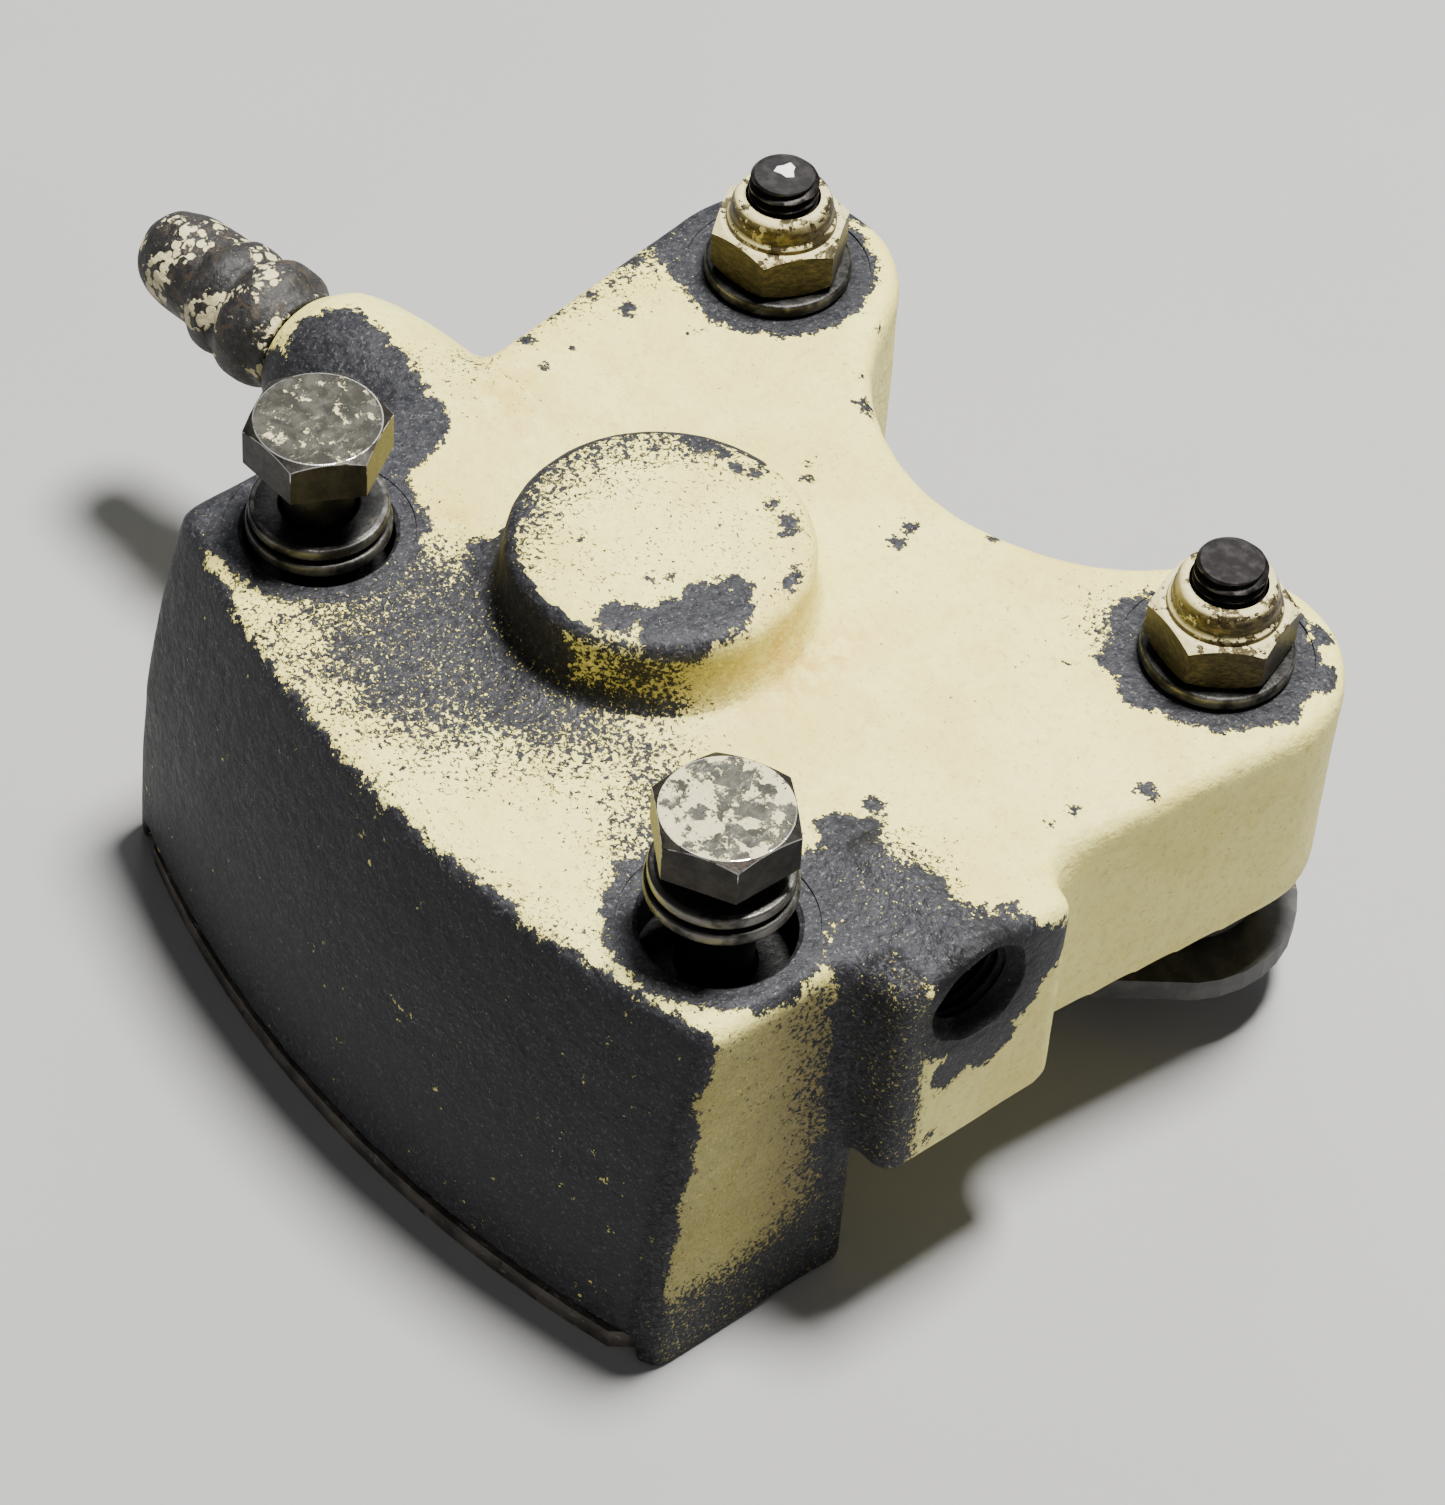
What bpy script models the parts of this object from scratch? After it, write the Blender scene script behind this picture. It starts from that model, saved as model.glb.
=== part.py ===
"""Floating single-piston hydraulic disc brake caliper, lying on its outer plate.

Lengths below are in millimetres and are turned into metres when a mesh is made.
X runs across the caliper from bolt to bolt, Y runs from the outer wall towards the
wheel hub, and Z is up, along the piston. The origin is on the bottom face, midway
between the two long bolts.
"""
import math

import bmesh
import bpy
from mathutils import Matrix, Vector

MM = 0.001

# Clearances
GAP = 0.3                  # between pieces that touch on the real object
RUNNING_GAP = 0.5          # between a pad and the disc or the walls that guide it

# Heights of the casting
TOP_Z = 50.0               # flat top face
SLAB_BOTTOM_Z = 21.5       # underside of the cylinder slab and the ears
TOP_EDGE_R = 2.0           # cast rounding of the top edge

# Outer wall, concentric with the disc
DISC_CENTRE_Y = 122.6
OUTER_R_TOP = 141.0
OUTER_SPREAD = 6.0         # how much further out the wall stands at its foot
WALL_T = 7.0
END_X_TOP = 46.0
END_SPREAD = 1.6
CORNER_R = 2.0
OUTER_R_BOTTOM = OUTER_R_TOP + OUTER_SPREAD
WALL_INNER_R = OUTER_R_TOP - WALL_T
END_X_BOTTOM = END_X_TOP + END_SPREAD

# Disc that the caliper grips
DISC_R = 117.5
DISC_T = 4.0

# Posts that carry the long bolts
BOLT_INSET = 11.8          # from a bolt's axis to the casting's end
BOLT_X = END_X_TOP - BOLT_INSET
POST_BACK_Y = 9.5
POST_WALL = 8.2            # from a bolt's axis to the pads' side of its post
POST_INNER_X = BOLT_X - POST_WALL
POST_BACK_R = DISC_R + 1.5

# Ears that carry the guide pins
PIN_X = BOLT_X + 2.65
PIN_Y = 65.8
EAR_R = 14.2
HUB_ARC_Y = 84.5           # centre of the concave edge between the ears

# Port boss and its threaded hole
PORT_BOSS_OUT = 8.0        # how far the boss stands out of the casting's end
PORT_SIDE_Y = 7.8
PORT_FAR_Y = 31.2
PORT_Y = 18.6
PORT_DROP = 6.0            # below the top face
PORT_R = 5.0
PORT_DEPTH = 18.0
PORT_CHAMFER = 1.2
FLUID_R = 1.6
PORT_FACE_X = END_X_TOP + PORT_BOSS_OUT
PORT_Z = TOP_Z - PORT_DROP

# Side of the casting between the port boss and the right ear, and its mirror
FLANK_Y = 32.2
LEFT_FLANK_STEP = 2.0
FLANK_X = END_X_TOP + END_SPREAD
LEFT_FLANK_X = FLANK_X - LEFT_FLANK_STEP

# Reaction plate in the bottom of the casting
PLATE_T = 5.0
RIM_T = 2.7
RIM_GAP = 0.5
PLATE_END_WALL = 1.8
TONGUE_STEP = 2.0
PLATE_END_Y = 45.0
DOWEL_X = POST_INNER_X - 9.0
DOWEL_Y = 26.0
DOWEL_R = 2.4
PLATE_HALF_X = END_X_TOP - PLATE_END_WALL
PLATE_TONGUE_X = POST_INNER_X + TONGUE_STEP

# Brake pads
PAD_HALF_X = POST_INNER_X - RUNNING_GAP
PAD_SHOULDER_Y = -5.0
BACKING_T = 3.0
LINING_T = 4.0
LINING_SIDE = 2.0          # from the lining's side to the post
LINING_OUTER_R = DISC_R - 1.0
LINING_INNER_R = 82.0
LINING_HALF_X = POST_INNER_X - LINING_SIDE
GROOVE_HALF_W = 1.0
GROOVE_D = 1.2

# Heights of the pads and the disc gap, worked up from the reaction plate
OUTER_BACKING_Z = PLATE_T + GAP
OUTER_LINING_Z = OUTER_BACKING_Z + BACKING_T + GAP
DISC_Z = OUTER_LINING_Z + LINING_T + RUNNING_GAP
INNER_LINING_Z = DISC_Z + DISC_T + RUNNING_GAP
INNER_BACKING_Z = INNER_LINING_Z + LINING_T + GAP
PISTON_Z = INNER_BACKING_Z + BACKING_T + GAP
PAD_POCKET_TOP_Z = PISTON_Z + GAP

# Cylinder
BORE_X = -4.5
BORE_Y = 22.8
BORE_R = 13.5
CYLINDER_WALL = 3.3
BOSS_H = 10.0
BOSS_EDGE_R = 2.0
CROWN_T = 4.5              # closed end of the cylinder
PISTON_HEADROOM = 2.5
PISTON_WALL = 3.0
SEAL_W = 2.5
SEAL_GROOVE_H = 3.4
DUST_SEAL_W = 2.2
DUST_GROOVE_H = 3.0
GROOVE_LAND = 2.0          # wall between the two seal grooves
BOSS_R = BORE_R + CYLINDER_WALL
BORE_TOP_Z = TOP_Z + BOSS_H - CROWN_T
PISTON_L = BORE_TOP_Z - PISTON_HEADROOM - PISTON_Z
SEAL_GROOVE_R = BORE_R + SEAL_W
DUST_GROOVE_R = BORE_R + DUST_SEAL_W
DUST_GROOVE_Z = PAD_POCKET_TOP_Z + 1.5
SEAL_GROOVE_Z = DUST_GROOVE_Z + DUST_GROOVE_H + GROOVE_LAND

# Bleed boss, screw and cap
BLEED_FACE_OUT = 21.2      # from the casting's end to the boss's face
BLEED_FACE_Y = 21.4
BLEED_DROP = 11.0          # below the top face
BLEED_TILT = 6.8           # degrees from the X axis, towards the outer wall
BLEED_BOSS_R = 6.6         # at its face
BLEED_ROOT_R = 11.0        # where it leaves the casting
BLEED_BOSS_L = 29.0
BLEED_TAPER_L = 15.0
BLEED_HOLE_R = 3.4
BLEED_HOLE_L = 20.0
BLEED_HEX_AF = 8.0
CAP_WALL = 1.4
CAP_L = 25.0
CAP_DOME_L = 10.0
BLEED_FACE_X = -END_X_TOP - BLEED_FACE_OUT
BLEED_Z = TOP_Z - BLEED_DROP
CAP_INNER_R = BLEED_HEX_AF / math.sqrt(3) + GAP
CAP_R = CAP_INNER_R + CAP_WALL   # at its foot and in its grooves
CAP_FLANGE_R = CAP_R + 1.3
CAP_BULGE_R = CAP_R + 0.7
CAP_DOME_R = CAP_R - 0.5

# Long hexagon bolts and their washers
M8_R = 3.95
HEX_AF = 14.0
HEAD_H = 5.3
COUNTERBORE_D = 6.0
FLAT_T = 1.6
SPRING_T = 2.0
WASHER_PITCH_GAP = 0.6
BOLT_TIP_Z = 2.0           # end of a bolt that is screwed home
FRONT_BACKED_OUT = 13.1    # how far each bolt stands unscrewed at rest
REAR_BACKED_OUT = 12.2
FRONT_WASHER_LIFT = 11.0   # how far up the bolts their washers hang
REAR_WASHER_LIFT = 6.0
SPOT_MARGIN = 2.4
SPOT_D = 0.3
HEX_R = HEX_AF / math.sqrt(3)
BOLT_HOLE_R = M8_R + 0.45
COUNTERBORE_R = HEX_R + 0.15
BOLT_WASHER_R = COUNTERBORE_R - GAP
BOLT_SPOT_R = COUNTERBORE_R + SPOT_MARGIN
WASHER_SEAT_Z = TOP_Z - COUNTERBORE_D + GAP
SEATED_BOLT_Z = WASHER_SEAT_Z + FLAT_T + WASHER_PITCH_GAP + SPRING_T + GAP
BOLT_SHANK_L = SEATED_BOLT_Z - BOLT_TIP_Z

# Guide pins, their washers and nuts
STUD_ABOVE = 14.2          # height of the threaded end above the top face
PIN_R = 4.5
PIN_BOTTOM_Z = 1.5
PIN_FLANGE_T = 2.0
PIN_FLANGE_R = M8_R + 2.35
STUD_WASHER_T = 1.7
STUD_WASHER_R = HEX_R + GAP
STUD_SPOT_R = STUD_WASHER_R + SPOT_MARGIN
NUT_HEX_H = 5.6
NUT_COLLAR_H = 3.6
NUT_COLLAR_R = M8_R + 1.95
STUD_TOP_Z = TOP_Z + STUD_ABOVE

# Bracket that the guide pins slide in
BRACKET_Z = 8.5
BRACKET_T = 3.0
BRACKET_END_R = 13.8
BRACKET_EDGE_Y = 46.4
BRACKET_EDGE_X = PIN_X + 3.15
LUG_X = 15.0
LUG_Y = 76.0
LUG_R = 8.0
LUG_HOLE_R = 4.2
BUSH_WALL = 1.6
BUSH_L = 11.0
BUSH_HEAD_T = 1.2
BUSH_R = PIN_R + GAP + BUSH_WALL
BUSH_HEAD_R = BUSH_R + 1.2
BOOT_R = BUSH_HEAD_R + 1.7
BOOT_WALL = 0.9
BOOT_FOLD_D = 1.6
BOOT_FOLDS = 4
BOOT_POCKET_R = BOOT_R + 0.5
BOOT_POCKET_D = 10.0
BOOT_POCKET_TOP_Z = SLAB_BOTTOM_Z + BOOT_POCKET_D

# Pad spring
SPRING_SHEET_T = 0.6
SPRING_HALF_X = POST_INNER_X - 6.0
SPRING_Z = 7.0
SPRING_W = 16.0

FINE = 32                  # sides of a large round
COARSE = 20                # sides of a small round


# ---------------------------------------------------------------- outlines

def arc(cx, cy, radius, start, end, steps):
    """Points on a circle from one angle to another, in degrees, both ends included."""
    points = []
    for i in range(steps + 1):
        a = math.radians(start + (end - start) * i / steps)
        points.append((cx + radius * math.cos(a), cy + radius * math.sin(a)))
    return points


def rounded(corners, steps=4):
    """Polygon whose corners, given as (x, y, radius), are rounded by arcs."""
    points = []
    count = len(corners)
    for i, (x, y, radius) in enumerate(corners):
        here = Vector((x, y))
        back = (Vector(corners[i - 1][:2]) - here).normalized()
        ahead = (Vector(corners[(i + 1) % count][:2]) - here).normalized()
        if radius <= 0:
            points.append((x, y))
            continue
        half = back.angle(ahead) / 2
        bisector = (back + ahead).normalized()
        centre = here + bisector * (radius / math.sin(half))
        first = here + back * (radius / math.tan(half)) - centre
        turn = (math.pi - 2 * half) / steps
        if back.x * ahead.y - back.y * ahead.x > 0:
            turn = -turn
        for k in range(steps + 1):
            spoke = Matrix.Rotation(turn * k, 2) @ first
            points.append(tuple(centre + spoke))
    return points


def inset(points, distance):
    """The same outline moved inwards by a distance, for a rounded or sloping edge."""
    moved = []
    count = len(points)
    for i, point in enumerate(points):
        before = Vector(points[i - 1])
        after = Vector(points[(i + 1) % count])
        along = (Vector(point) - before).normalized() + (after - Vector(point)).normalized()
        along.normalize()
        moved.append((point[0] - along.y * distance, point[1] + along.x * distance))
    return moved


def tangent_angle(point, cx, cy, radius, side):
    """Angle on a circle where the line from an outside point touches it."""
    dx = point[0] - cx
    dy = point[1] - cy
    lean = math.degrees(math.acos(radius / math.hypot(dx, dy)))
    return math.degrees(math.atan2(dy, dx)) + side * lean


def outer_arc_y(radius, x):
    return DISC_CENTRE_Y - math.sqrt(radius * radius - x * x)


def disc_arc(radius, x_start, x_end, steps):
    """Points on an arc about the disc's centre, from one X to another."""
    start = math.degrees(math.asin(x_start / radius)) - 90
    end = math.degrees(math.asin(x_end / radius)) - 90
    return arc(0, DISC_CENTRE_Y, radius, start, end, steps)


def casting_outline(flare):
    """Outline of the casting seen from above. A flare of 1 is its bottom, 0 its top."""
    outer_r = OUTER_R_TOP + (OUTER_R_BOTTOM - OUTER_R_TOP) * flare
    end_x = END_X_TOP + (END_X_BOTTOM - END_X_TOP) * flare
    corner_y = outer_arc_y(outer_r, end_x)
    pull = CORNER_R * 0.9
    points = disc_arc(outer_r, -end_x + pull, end_x - pull, 18)
    flank = rounded([
        (end_x - 8, corner_y - 1.6, 0), (end_x, corner_y, CORNER_R),
        (end_x, PORT_SIDE_Y, 3.0), (PORT_FACE_X, PORT_SIDE_Y, 1.8),
        (PORT_FACE_X, PORT_FAR_Y, 2.2), (FLANK_X, FLANK_Y, 3.2), (FLANK_X + 4.6, PIN_Y, 0),
    ])
    points += flank[1:-1]
    hub_lean = math.degrees(math.atan2(HUB_ARC_Y - PIN_Y, PIN_X))
    hub_r = math.hypot(PIN_X, HUB_ARC_Y - PIN_Y) - EAR_R
    start = tangent_angle(flank[-2], PIN_X, PIN_Y, EAR_R, 1)
    points += arc(PIN_X, PIN_Y, EAR_R, start, 180 - hub_lean, 14)
    points += arc(0, HUB_ARC_Y, hub_r, -hub_lean, hub_lean - 180, 12)[1:]
    left_low = (-LEFT_FLANK_X, FLANK_Y)
    end = tangent_angle(left_low, -PIN_X, PIN_Y, EAR_R, -1) % 360
    points += arc(-PIN_X, PIN_Y, EAR_R, hub_lean, end, 14)[1:]
    points.append(left_low)
    points.append((-end_x, POST_BACK_Y))
    left = rounded([(-end_x, 2, 0), (-end_x, corner_y, CORNER_R), (-end_x + 8, corner_y - 1.6, 0)])
    return points + left[1:-1]


# ---------------------------------------------------------------- meshes

def loft(levels):
    """Closed body through outlines of equal length, given as (outline, z), upwards."""
    bm = bmesh.new()
    rings = [[bm.verts.new((x, y, z)) for x, y in outline] for outline, z in levels]
    for low, high in zip(rings, rings[1:]):
        for i in range(len(low)):
            j = (i + 1) % len(low)
            bm.faces.new((low[i], low[j], high[j], high[i]))
    bm.faces.new(reversed(rings[0]))
    bm.faces.new(rings[-1])
    return bm


def prism(outline, z_low, z_high):
    return loft([(outline, z_low), (outline, z_high)])


def box(x_low, x_high, y_low, y_high, z_low, z_high):
    corners = [(x_low, y_low), (x_high, y_low), (x_high, y_high), (x_low, y_high)]
    return prism(corners, z_low, z_high)


def turned(profile, sides):
    """Body turned about Z from a closed profile of (radius, z), counter-clockwise."""
    bm = bmesh.new()
    rings = []
    for radius, z in profile:
        if radius == 0:
            rings.append([bm.verts.new((0, 0, z))])
            continue
        ring = []
        for i in range(sides):
            a = 2 * math.pi * i / sides
            ring.append(bm.verts.new((radius * math.cos(a), radius * math.sin(a), z)))
        rings.append(ring)
    for k, ring in enumerate(rings):
        other = rings[(k + 1) % len(rings)]
        if len(ring) == 1 and len(other) == 1:
            continue
        for i in range(sides):
            j = (i + 1) % sides
            if len(ring) == 1:
                bm.faces.new((ring[0], other[j], other[i]))
            elif len(other) == 1:
                bm.faces.new((ring[i], ring[j], other[0]))
            else:
                bm.faces.new((ring[i], ring[j], other[j], other[i]))
    return bm


def rod(radius, z_low, z_high, sides=COARSE):
    return turned([(0, z_low), (radius, z_low), (radius, z_high), (0, z_high)], sides)


def ring(inner, outer, z_low, z_high, sides=COARSE):
    return turned([(inner, z_low), (outer, z_low), (outer, z_high), (inner, z_high)], sides)


def hex_outline(across_flats, turn=0.0):
    radius = across_flats / math.sqrt(3)
    return arc(0, 0, radius, turn, turn + 300, 5)


def hexagon(across_flats, z_low, z_high, turn=0.0):
    return prism(hex_outline(across_flats, turn), z_low, z_high)


def place(bm, x=0.0, y=0.0, z=0.0, rotation=None):
    """Move a mesh, after turning it."""
    if rotation is not None:
        bmesh.ops.transform(bm, matrix=rotation.to_4x4(), verts=bm.verts)
    bmesh.ops.translate(bm, vec=(x, y, z), verts=bm.verts)
    return bm


# ---------------------------------------------------------------- objects

def material(name, colour, roughness, metallic):
    made = bpy.data.materials.new(name)
    made.use_nodes = True
    shader = made.node_tree.nodes["Principled BSDF"]
    shader.inputs["Base Color"].default_value = (*colour, 1.0)
    shader.inputs["Roughness"].default_value = roughness
    shader.inputs["Metallic"].default_value = metallic
    return made


def add_object(name, bm, look=None, origin=(0, 0, 0), parent=None):
    """Turn a mesh in millimetres into an object whose origin is at the given point."""
    bmesh.ops.translate(bm, vec=(-origin[0], -origin[1], -origin[2]), verts=bm.verts)
    bmesh.ops.scale(bm, vec=(MM, MM, MM), verts=bm.verts)
    bmesh.ops.recalc_face_normals(bm, faces=bm.faces)
    mesh = bpy.data.meshes.new(name)
    bm.to_mesh(mesh)
    bm.free()
    obj = bpy.data.objects.new(name, mesh)
    bpy.context.scene.collection.objects.link(obj)
    obj.location = Vector(origin) * MM
    if parent is not None:
        obj.parent = parent
        obj.location = (Vector(origin) * MM) - parent.location
    if look is not None:
        mesh.materials.append(look)
    return obj


def smooth(obj, angle=35.0):
    obj.data.shade_smooth()
    obj.data.set_sharp_from_angle(angle=math.radians(angle))
    return obj


def combine(obj, operation, bm, label):
    """Add, cut or intersect a hidden helper mesh with an object."""
    helper = add_object(f"{obj.name}_{label}", bm)
    helper.hide_render = True
    helper.display_type = "WIRE"
    modifier = obj.modifiers.new(label, "BOOLEAN")
    modifier.operation = operation
    modifier.object = helper
    modifier.solver = "EXACT"
    return obj


def cut(obj, bm, label):
    return combine(obj, "DIFFERENCE", bm, label)


def join(obj, bm, label):
    return combine(obj, "UNION", bm, label)


def empty(name, location):
    obj = bpy.data.objects.new(name, None)
    obj.location = Vector(location) * MM
    obj.empty_display_size = 0.01
    bpy.context.scene.collection.objects.link(obj)
    return obj


# ---------------------------------------------------------------- casting

def lying_along_x(bm):
    """Turn a mesh made along +Z so that it points along +X."""
    return place(bm, rotation=Matrix.Rotation(math.radians(90), 3, "Y"))


def bleed_frame(bm, distance=0.0):
    """Stand a mesh made along +Z on the bleed boss's face, pointing out of it."""
    outward = Matrix.Rotation(math.radians(180 + BLEED_TILT), 3, "Z")
    place(bm, z=distance)
    lying_along_x(bm)
    return place(bm, BLEED_FACE_X, BLEED_FACE_Y, BLEED_Z, outward)


def casting_block():
    levels = []
    for share in (0, 0.3, 0.5, 0.7, 0.85, 1):
        z = (TOP_Z - TOP_EDGE_R) * share
        levels.append((casting_outline(1 - share * share), z))
    top = casting_outline(0)
    for angle in (35, 65, 90):
        a = math.radians(angle)
        z = TOP_Z - TOP_EDGE_R * (1 - math.sin(a))
        levels.append((inset(top, TOP_EDGE_R * (1 - math.cos(a))), z))
    return loft(levels)


def underside_cutter():
    """Space below the slab: everything nearer the hub than the posts' back faces."""
    back = disc_arc(POST_BACK_R, -PIN_X, PIN_X, 12)
    outline = [(-80, POST_BACK_Y)] + back + [(80, POST_BACK_Y), (80, 110), (-80, 110)]
    return prism(outline, -1, SLAB_BOTTOM_Z)


def port_underside_cutter():
    """Space below the part of the port boss that stands outside the post."""
    return box(END_X_BOTTOM + GAP, 80, PORT_SIDE_Y - 6, POST_BACK_Y + 1, -1, SLAB_BOTTOM_Z)


def disc_window_cutter():
    """Space between the two posts and behind the outer wall."""
    wall = disc_arc(WALL_INNER_R, -POST_INNER_X, POST_INNER_X, 8)
    outline = wall + [(POST_INNER_X, 12), (-POST_INNER_X, 12)]
    return prism(outline, -1, PAD_POCKET_TOP_Z)


def pad_pocket_cutter():
    """Recess in the slab's underside that holds the inner pad."""
    corners = [
        (-POST_INNER_X, PAD_SHOULDER_Y - 4, 2), (POST_INNER_X, PAD_SHOULDER_Y - 4, 2),
        (POST_INNER_X, pad_end_y() + RUNNING_GAP, 3), (-POST_INNER_X, pad_end_y() + RUNNING_GAP, 3),
    ]
    return prism(rounded(corners, 3), SLAB_BOTTOM_Z - 2, PAD_POCKET_TOP_Z)


def plate_recess_cutter():
    """Recess under the posts for the thick part of the reaction plate."""
    half = PLATE_HALF_X + GAP
    outline = disc_arc(WALL_INNER_R - GAP, -half, half, 12) + [(half, 20), (-half, 20)]
    return prism(outline, -1, PLATE_T + GAP)


def rim_recess_cutter():
    """Recess under the outer wall for the plate's thin rim."""
    half = PLATE_HALF_X + GAP
    low_y = outer_arc_y(OUTER_R_BOTTOM, half) - 12
    corners = [(-half, low_y, 0), (half, low_y, 0), (half, 20, 0), (-half, 20, 0)]
    return prism(rounded(corners), -1, RIM_T + RIM_GAP)


def bore_cutter():
    """Cylinder bore with the grooves of its two seals."""
    top = BORE_TOP_Z
    profile = [
        (0, SLAB_BOTTOM_Z - 1), (BORE_R, SLAB_BOTTOM_Z - 1),
        (BORE_R, DUST_GROOVE_Z), (DUST_GROOVE_R, DUST_GROOVE_Z),
        (DUST_GROOVE_R, DUST_GROOVE_Z + DUST_GROOVE_H), (BORE_R, DUST_GROOVE_Z + DUST_GROOVE_H),
        (BORE_R, SEAL_GROOVE_Z), (SEAL_GROOVE_R, SEAL_GROOVE_Z),
        (SEAL_GROOVE_R, SEAL_GROOVE_Z + SEAL_GROOVE_H), (BORE_R, SEAL_GROOVE_Z + SEAL_GROOVE_H),
        (BORE_R, top - 1), (BORE_R - 1, top), (0, top),
    ]
    return place(turned(profile, FINE), BORE_X, BORE_Y)


def cylinder_boss():
    low = TOP_Z - 4
    top = TOP_Z + BOSS_H
    profile = [(0, low), (BOSS_R, low), (BOSS_R, top - BOSS_EDGE_R)]
    for angle in (30, 60, 90):
        a = math.radians(angle)
        radius = BOSS_R - BOSS_EDGE_R * (1 - math.cos(a))
        profile.append((radius, top - BOSS_EDGE_R * (1 - math.sin(a))))
    profile.append((0, top))
    return place(turned(profile, FINE), BORE_X, BORE_Y)


def port_cutter():
    """Threaded port with a chamfered mouth, and the drilling to the bore."""
    inner_end = PORT_FACE_X - (BORE_X + BORE_R) + 1.5
    profile = [
        (0, -1), (PORT_R + PORT_CHAMFER + 1, -1), (PORT_R, PORT_CHAMFER), (PORT_R, PORT_DEPTH),
        (FLUID_R, PORT_DEPTH + 2), (FLUID_R, inner_end), (0, inner_end),
    ]
    inward = Matrix.Rotation(math.radians(180), 3, "Z")
    bm = lying_along_x(turned(profile, COARSE))
    return place(bm, PORT_FACE_X, PORT_Y, PORT_Z, inward)


def bleed_boss():
    low = -BLEED_BOSS_L
    profile = [(0, low), (BLEED_ROOT_R, low), (BLEED_ROOT_R, -BLEED_TAPER_L)]
    for share in (0.25, 0.5, 0.75, 1):
        swell = math.sqrt(1 - share * share)
        radius = BLEED_BOSS_R + (BLEED_ROOT_R - BLEED_BOSS_R) * swell
        profile.append((radius, -BLEED_TAPER_L * (1 - share)))
    profile.append((0, 0))
    return bleed_frame(turned(profile, COARSE))


def bleed_cutter():
    reach = math.hypot(BLEED_FACE_X - BORE_X, BLEED_FACE_Y - BORE_Y) - BORE_R + 1.5
    seat = BLEED_HOLE_L + 2.0
    profile = [
        (0, -reach), (FLUID_R, -reach), (FLUID_R, -seat), (BLEED_HOLE_R, -BLEED_HOLE_L),
        (BLEED_HOLE_R, 1), (0, 1),
    ]
    return bleed_frame(turned(profile, COARSE))


def bolt_hole_cutter(x):
    floor = TOP_Z - COUNTERBORE_D
    profile = [
        (0, -1), (BOLT_HOLE_R, -1), (BOLT_HOLE_R, floor), (COUNTERBORE_R, floor),
        (COUNTERBORE_R, TOP_Z - SPOT_D), (BOLT_SPOT_R, TOP_Z - SPOT_D),
        (BOLT_SPOT_R, TOP_Z + 1), (0, TOP_Z + 1),
    ]
    return place(turned(profile, FINE), x)


def pin_hole_cutter(x):
    profile = [
        (0, SLAB_BOTTOM_Z - 1), (BOOT_POCKET_R, SLAB_BOTTOM_Z - 1),
        (BOOT_POCKET_R, BOOT_POCKET_TOP_Z), (M8_R + GAP, BOOT_POCKET_TOP_Z),
        (M8_R + GAP, TOP_Z - SPOT_D), (STUD_SPOT_R, TOP_Z - SPOT_D),
        (STUD_SPOT_R, TOP_Z + 1), (0, TOP_Z + 1),
    ]
    return place(turned(profile, FINE), x, PIN_Y)


def build_casting(paint):
    body = add_object("caliper_body", casting_block(), paint)
    join(body, cylinder_boss(), "boss")
    join(body, bleed_boss(), "bleed_boss")
    for side, name in ((1, "front"), (-1, "rear")):
        cut(body, bolt_hole_cutter(side * BOLT_X), f"{name}_bolt_hole")
    cut(body, underside_cutter(), "underside")
    cut(body, port_underside_cutter(), "port_underside")
    for side, name in ((1, "right"), (-1, "left")):
        cut(body, pin_hole_cutter(side * PIN_X), f"{name}_pin_hole")
    cut(body, bore_cutter(), "bore")
    cut(body, port_cutter(), "port")
    cut(body, bleed_cutter(), "bleed_hole")
    cut(body, disc_window_cutter(), "disc_window")
    cut(body, pad_pocket_cutter(), "pad_pocket")
    cut(body, plate_recess_cutter(), "plate_recess")
    cut(body, rim_recess_cutter(), "rim_recess")
    return smooth(body, 40)


# ---------------------------------------------------------------- reaction plate

def build_reaction_plate(steel):
    half = PLATE_HALF_X
    outer = disc_arc(WALL_INNER_R - 2 * GAP, -half, half, 12)
    shoulder = POST_BACK_Y - GAP
    tongue = rounded([
        (half, -2, 0), (half, shoulder, 2.5), (PLATE_TONGUE_X, shoulder, 2.5),
        (PLATE_TONGUE_X - 4, PLATE_END_Y, 5), (-PLATE_TONGUE_X + 4, PLATE_END_Y, 5),
        (-PLATE_TONGUE_X, shoulder, 2.5), (-half, shoulder, 2.5), (-half, -2, 0),
    ])
    plate = add_object("reaction_plate", prism(outer + tongue[1:-1], 0, PLATE_T), steel)
    rim_x = half - 0.4
    rim_out = disc_arc(OUTER_R_BOTTOM - GAP, -rim_x + 2, rim_x - 2, 16)
    rim_y = outer_arc_y(OUTER_R_BOTTOM, rim_x)
    inner = disc_arc(WALL_INNER_R - 6, rim_x, -rim_x, 12)
    rim = rim_out + [(rim_x, rim_y + 2.2)] + inner + [(-rim_x, rim_y + 2.2)]
    join(plate, prism(rim, 0, RIM_T), "rim")
    for side, name in ((1, "front"), (-1, "rear")):
        cut(plate, place(rod(M8_R + GAP, -1, PLATE_T + 1), side * BOLT_X), f"{name}_thread")
        hole = place(rod(DOWEL_R + GAP, -1, PLATE_T + 1, 16), side * DOWEL_X, DOWEL_Y)
        cut(plate, hole, f"{name}_dowel_hole")
    return smooth(plate, 40)


# ---------------------------------------------------------------- pads

def pad_end_y():
    """Hub-side edge of the backings, just past the lining's inner corners."""
    return outer_arc_y(LINING_INNER_R, LINING_HALF_X - 3) + 0.6


def backing_outline():
    end = pad_end_y()
    return rounded([
        (-PAD_HALF_X, PAD_SHOULDER_Y, 1.5), (PAD_HALF_X, PAD_SHOULDER_Y, 1.5),
        (PAD_HALF_X, end, 2.5), (-PAD_HALF_X, end, 2.5),
    ])


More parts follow.
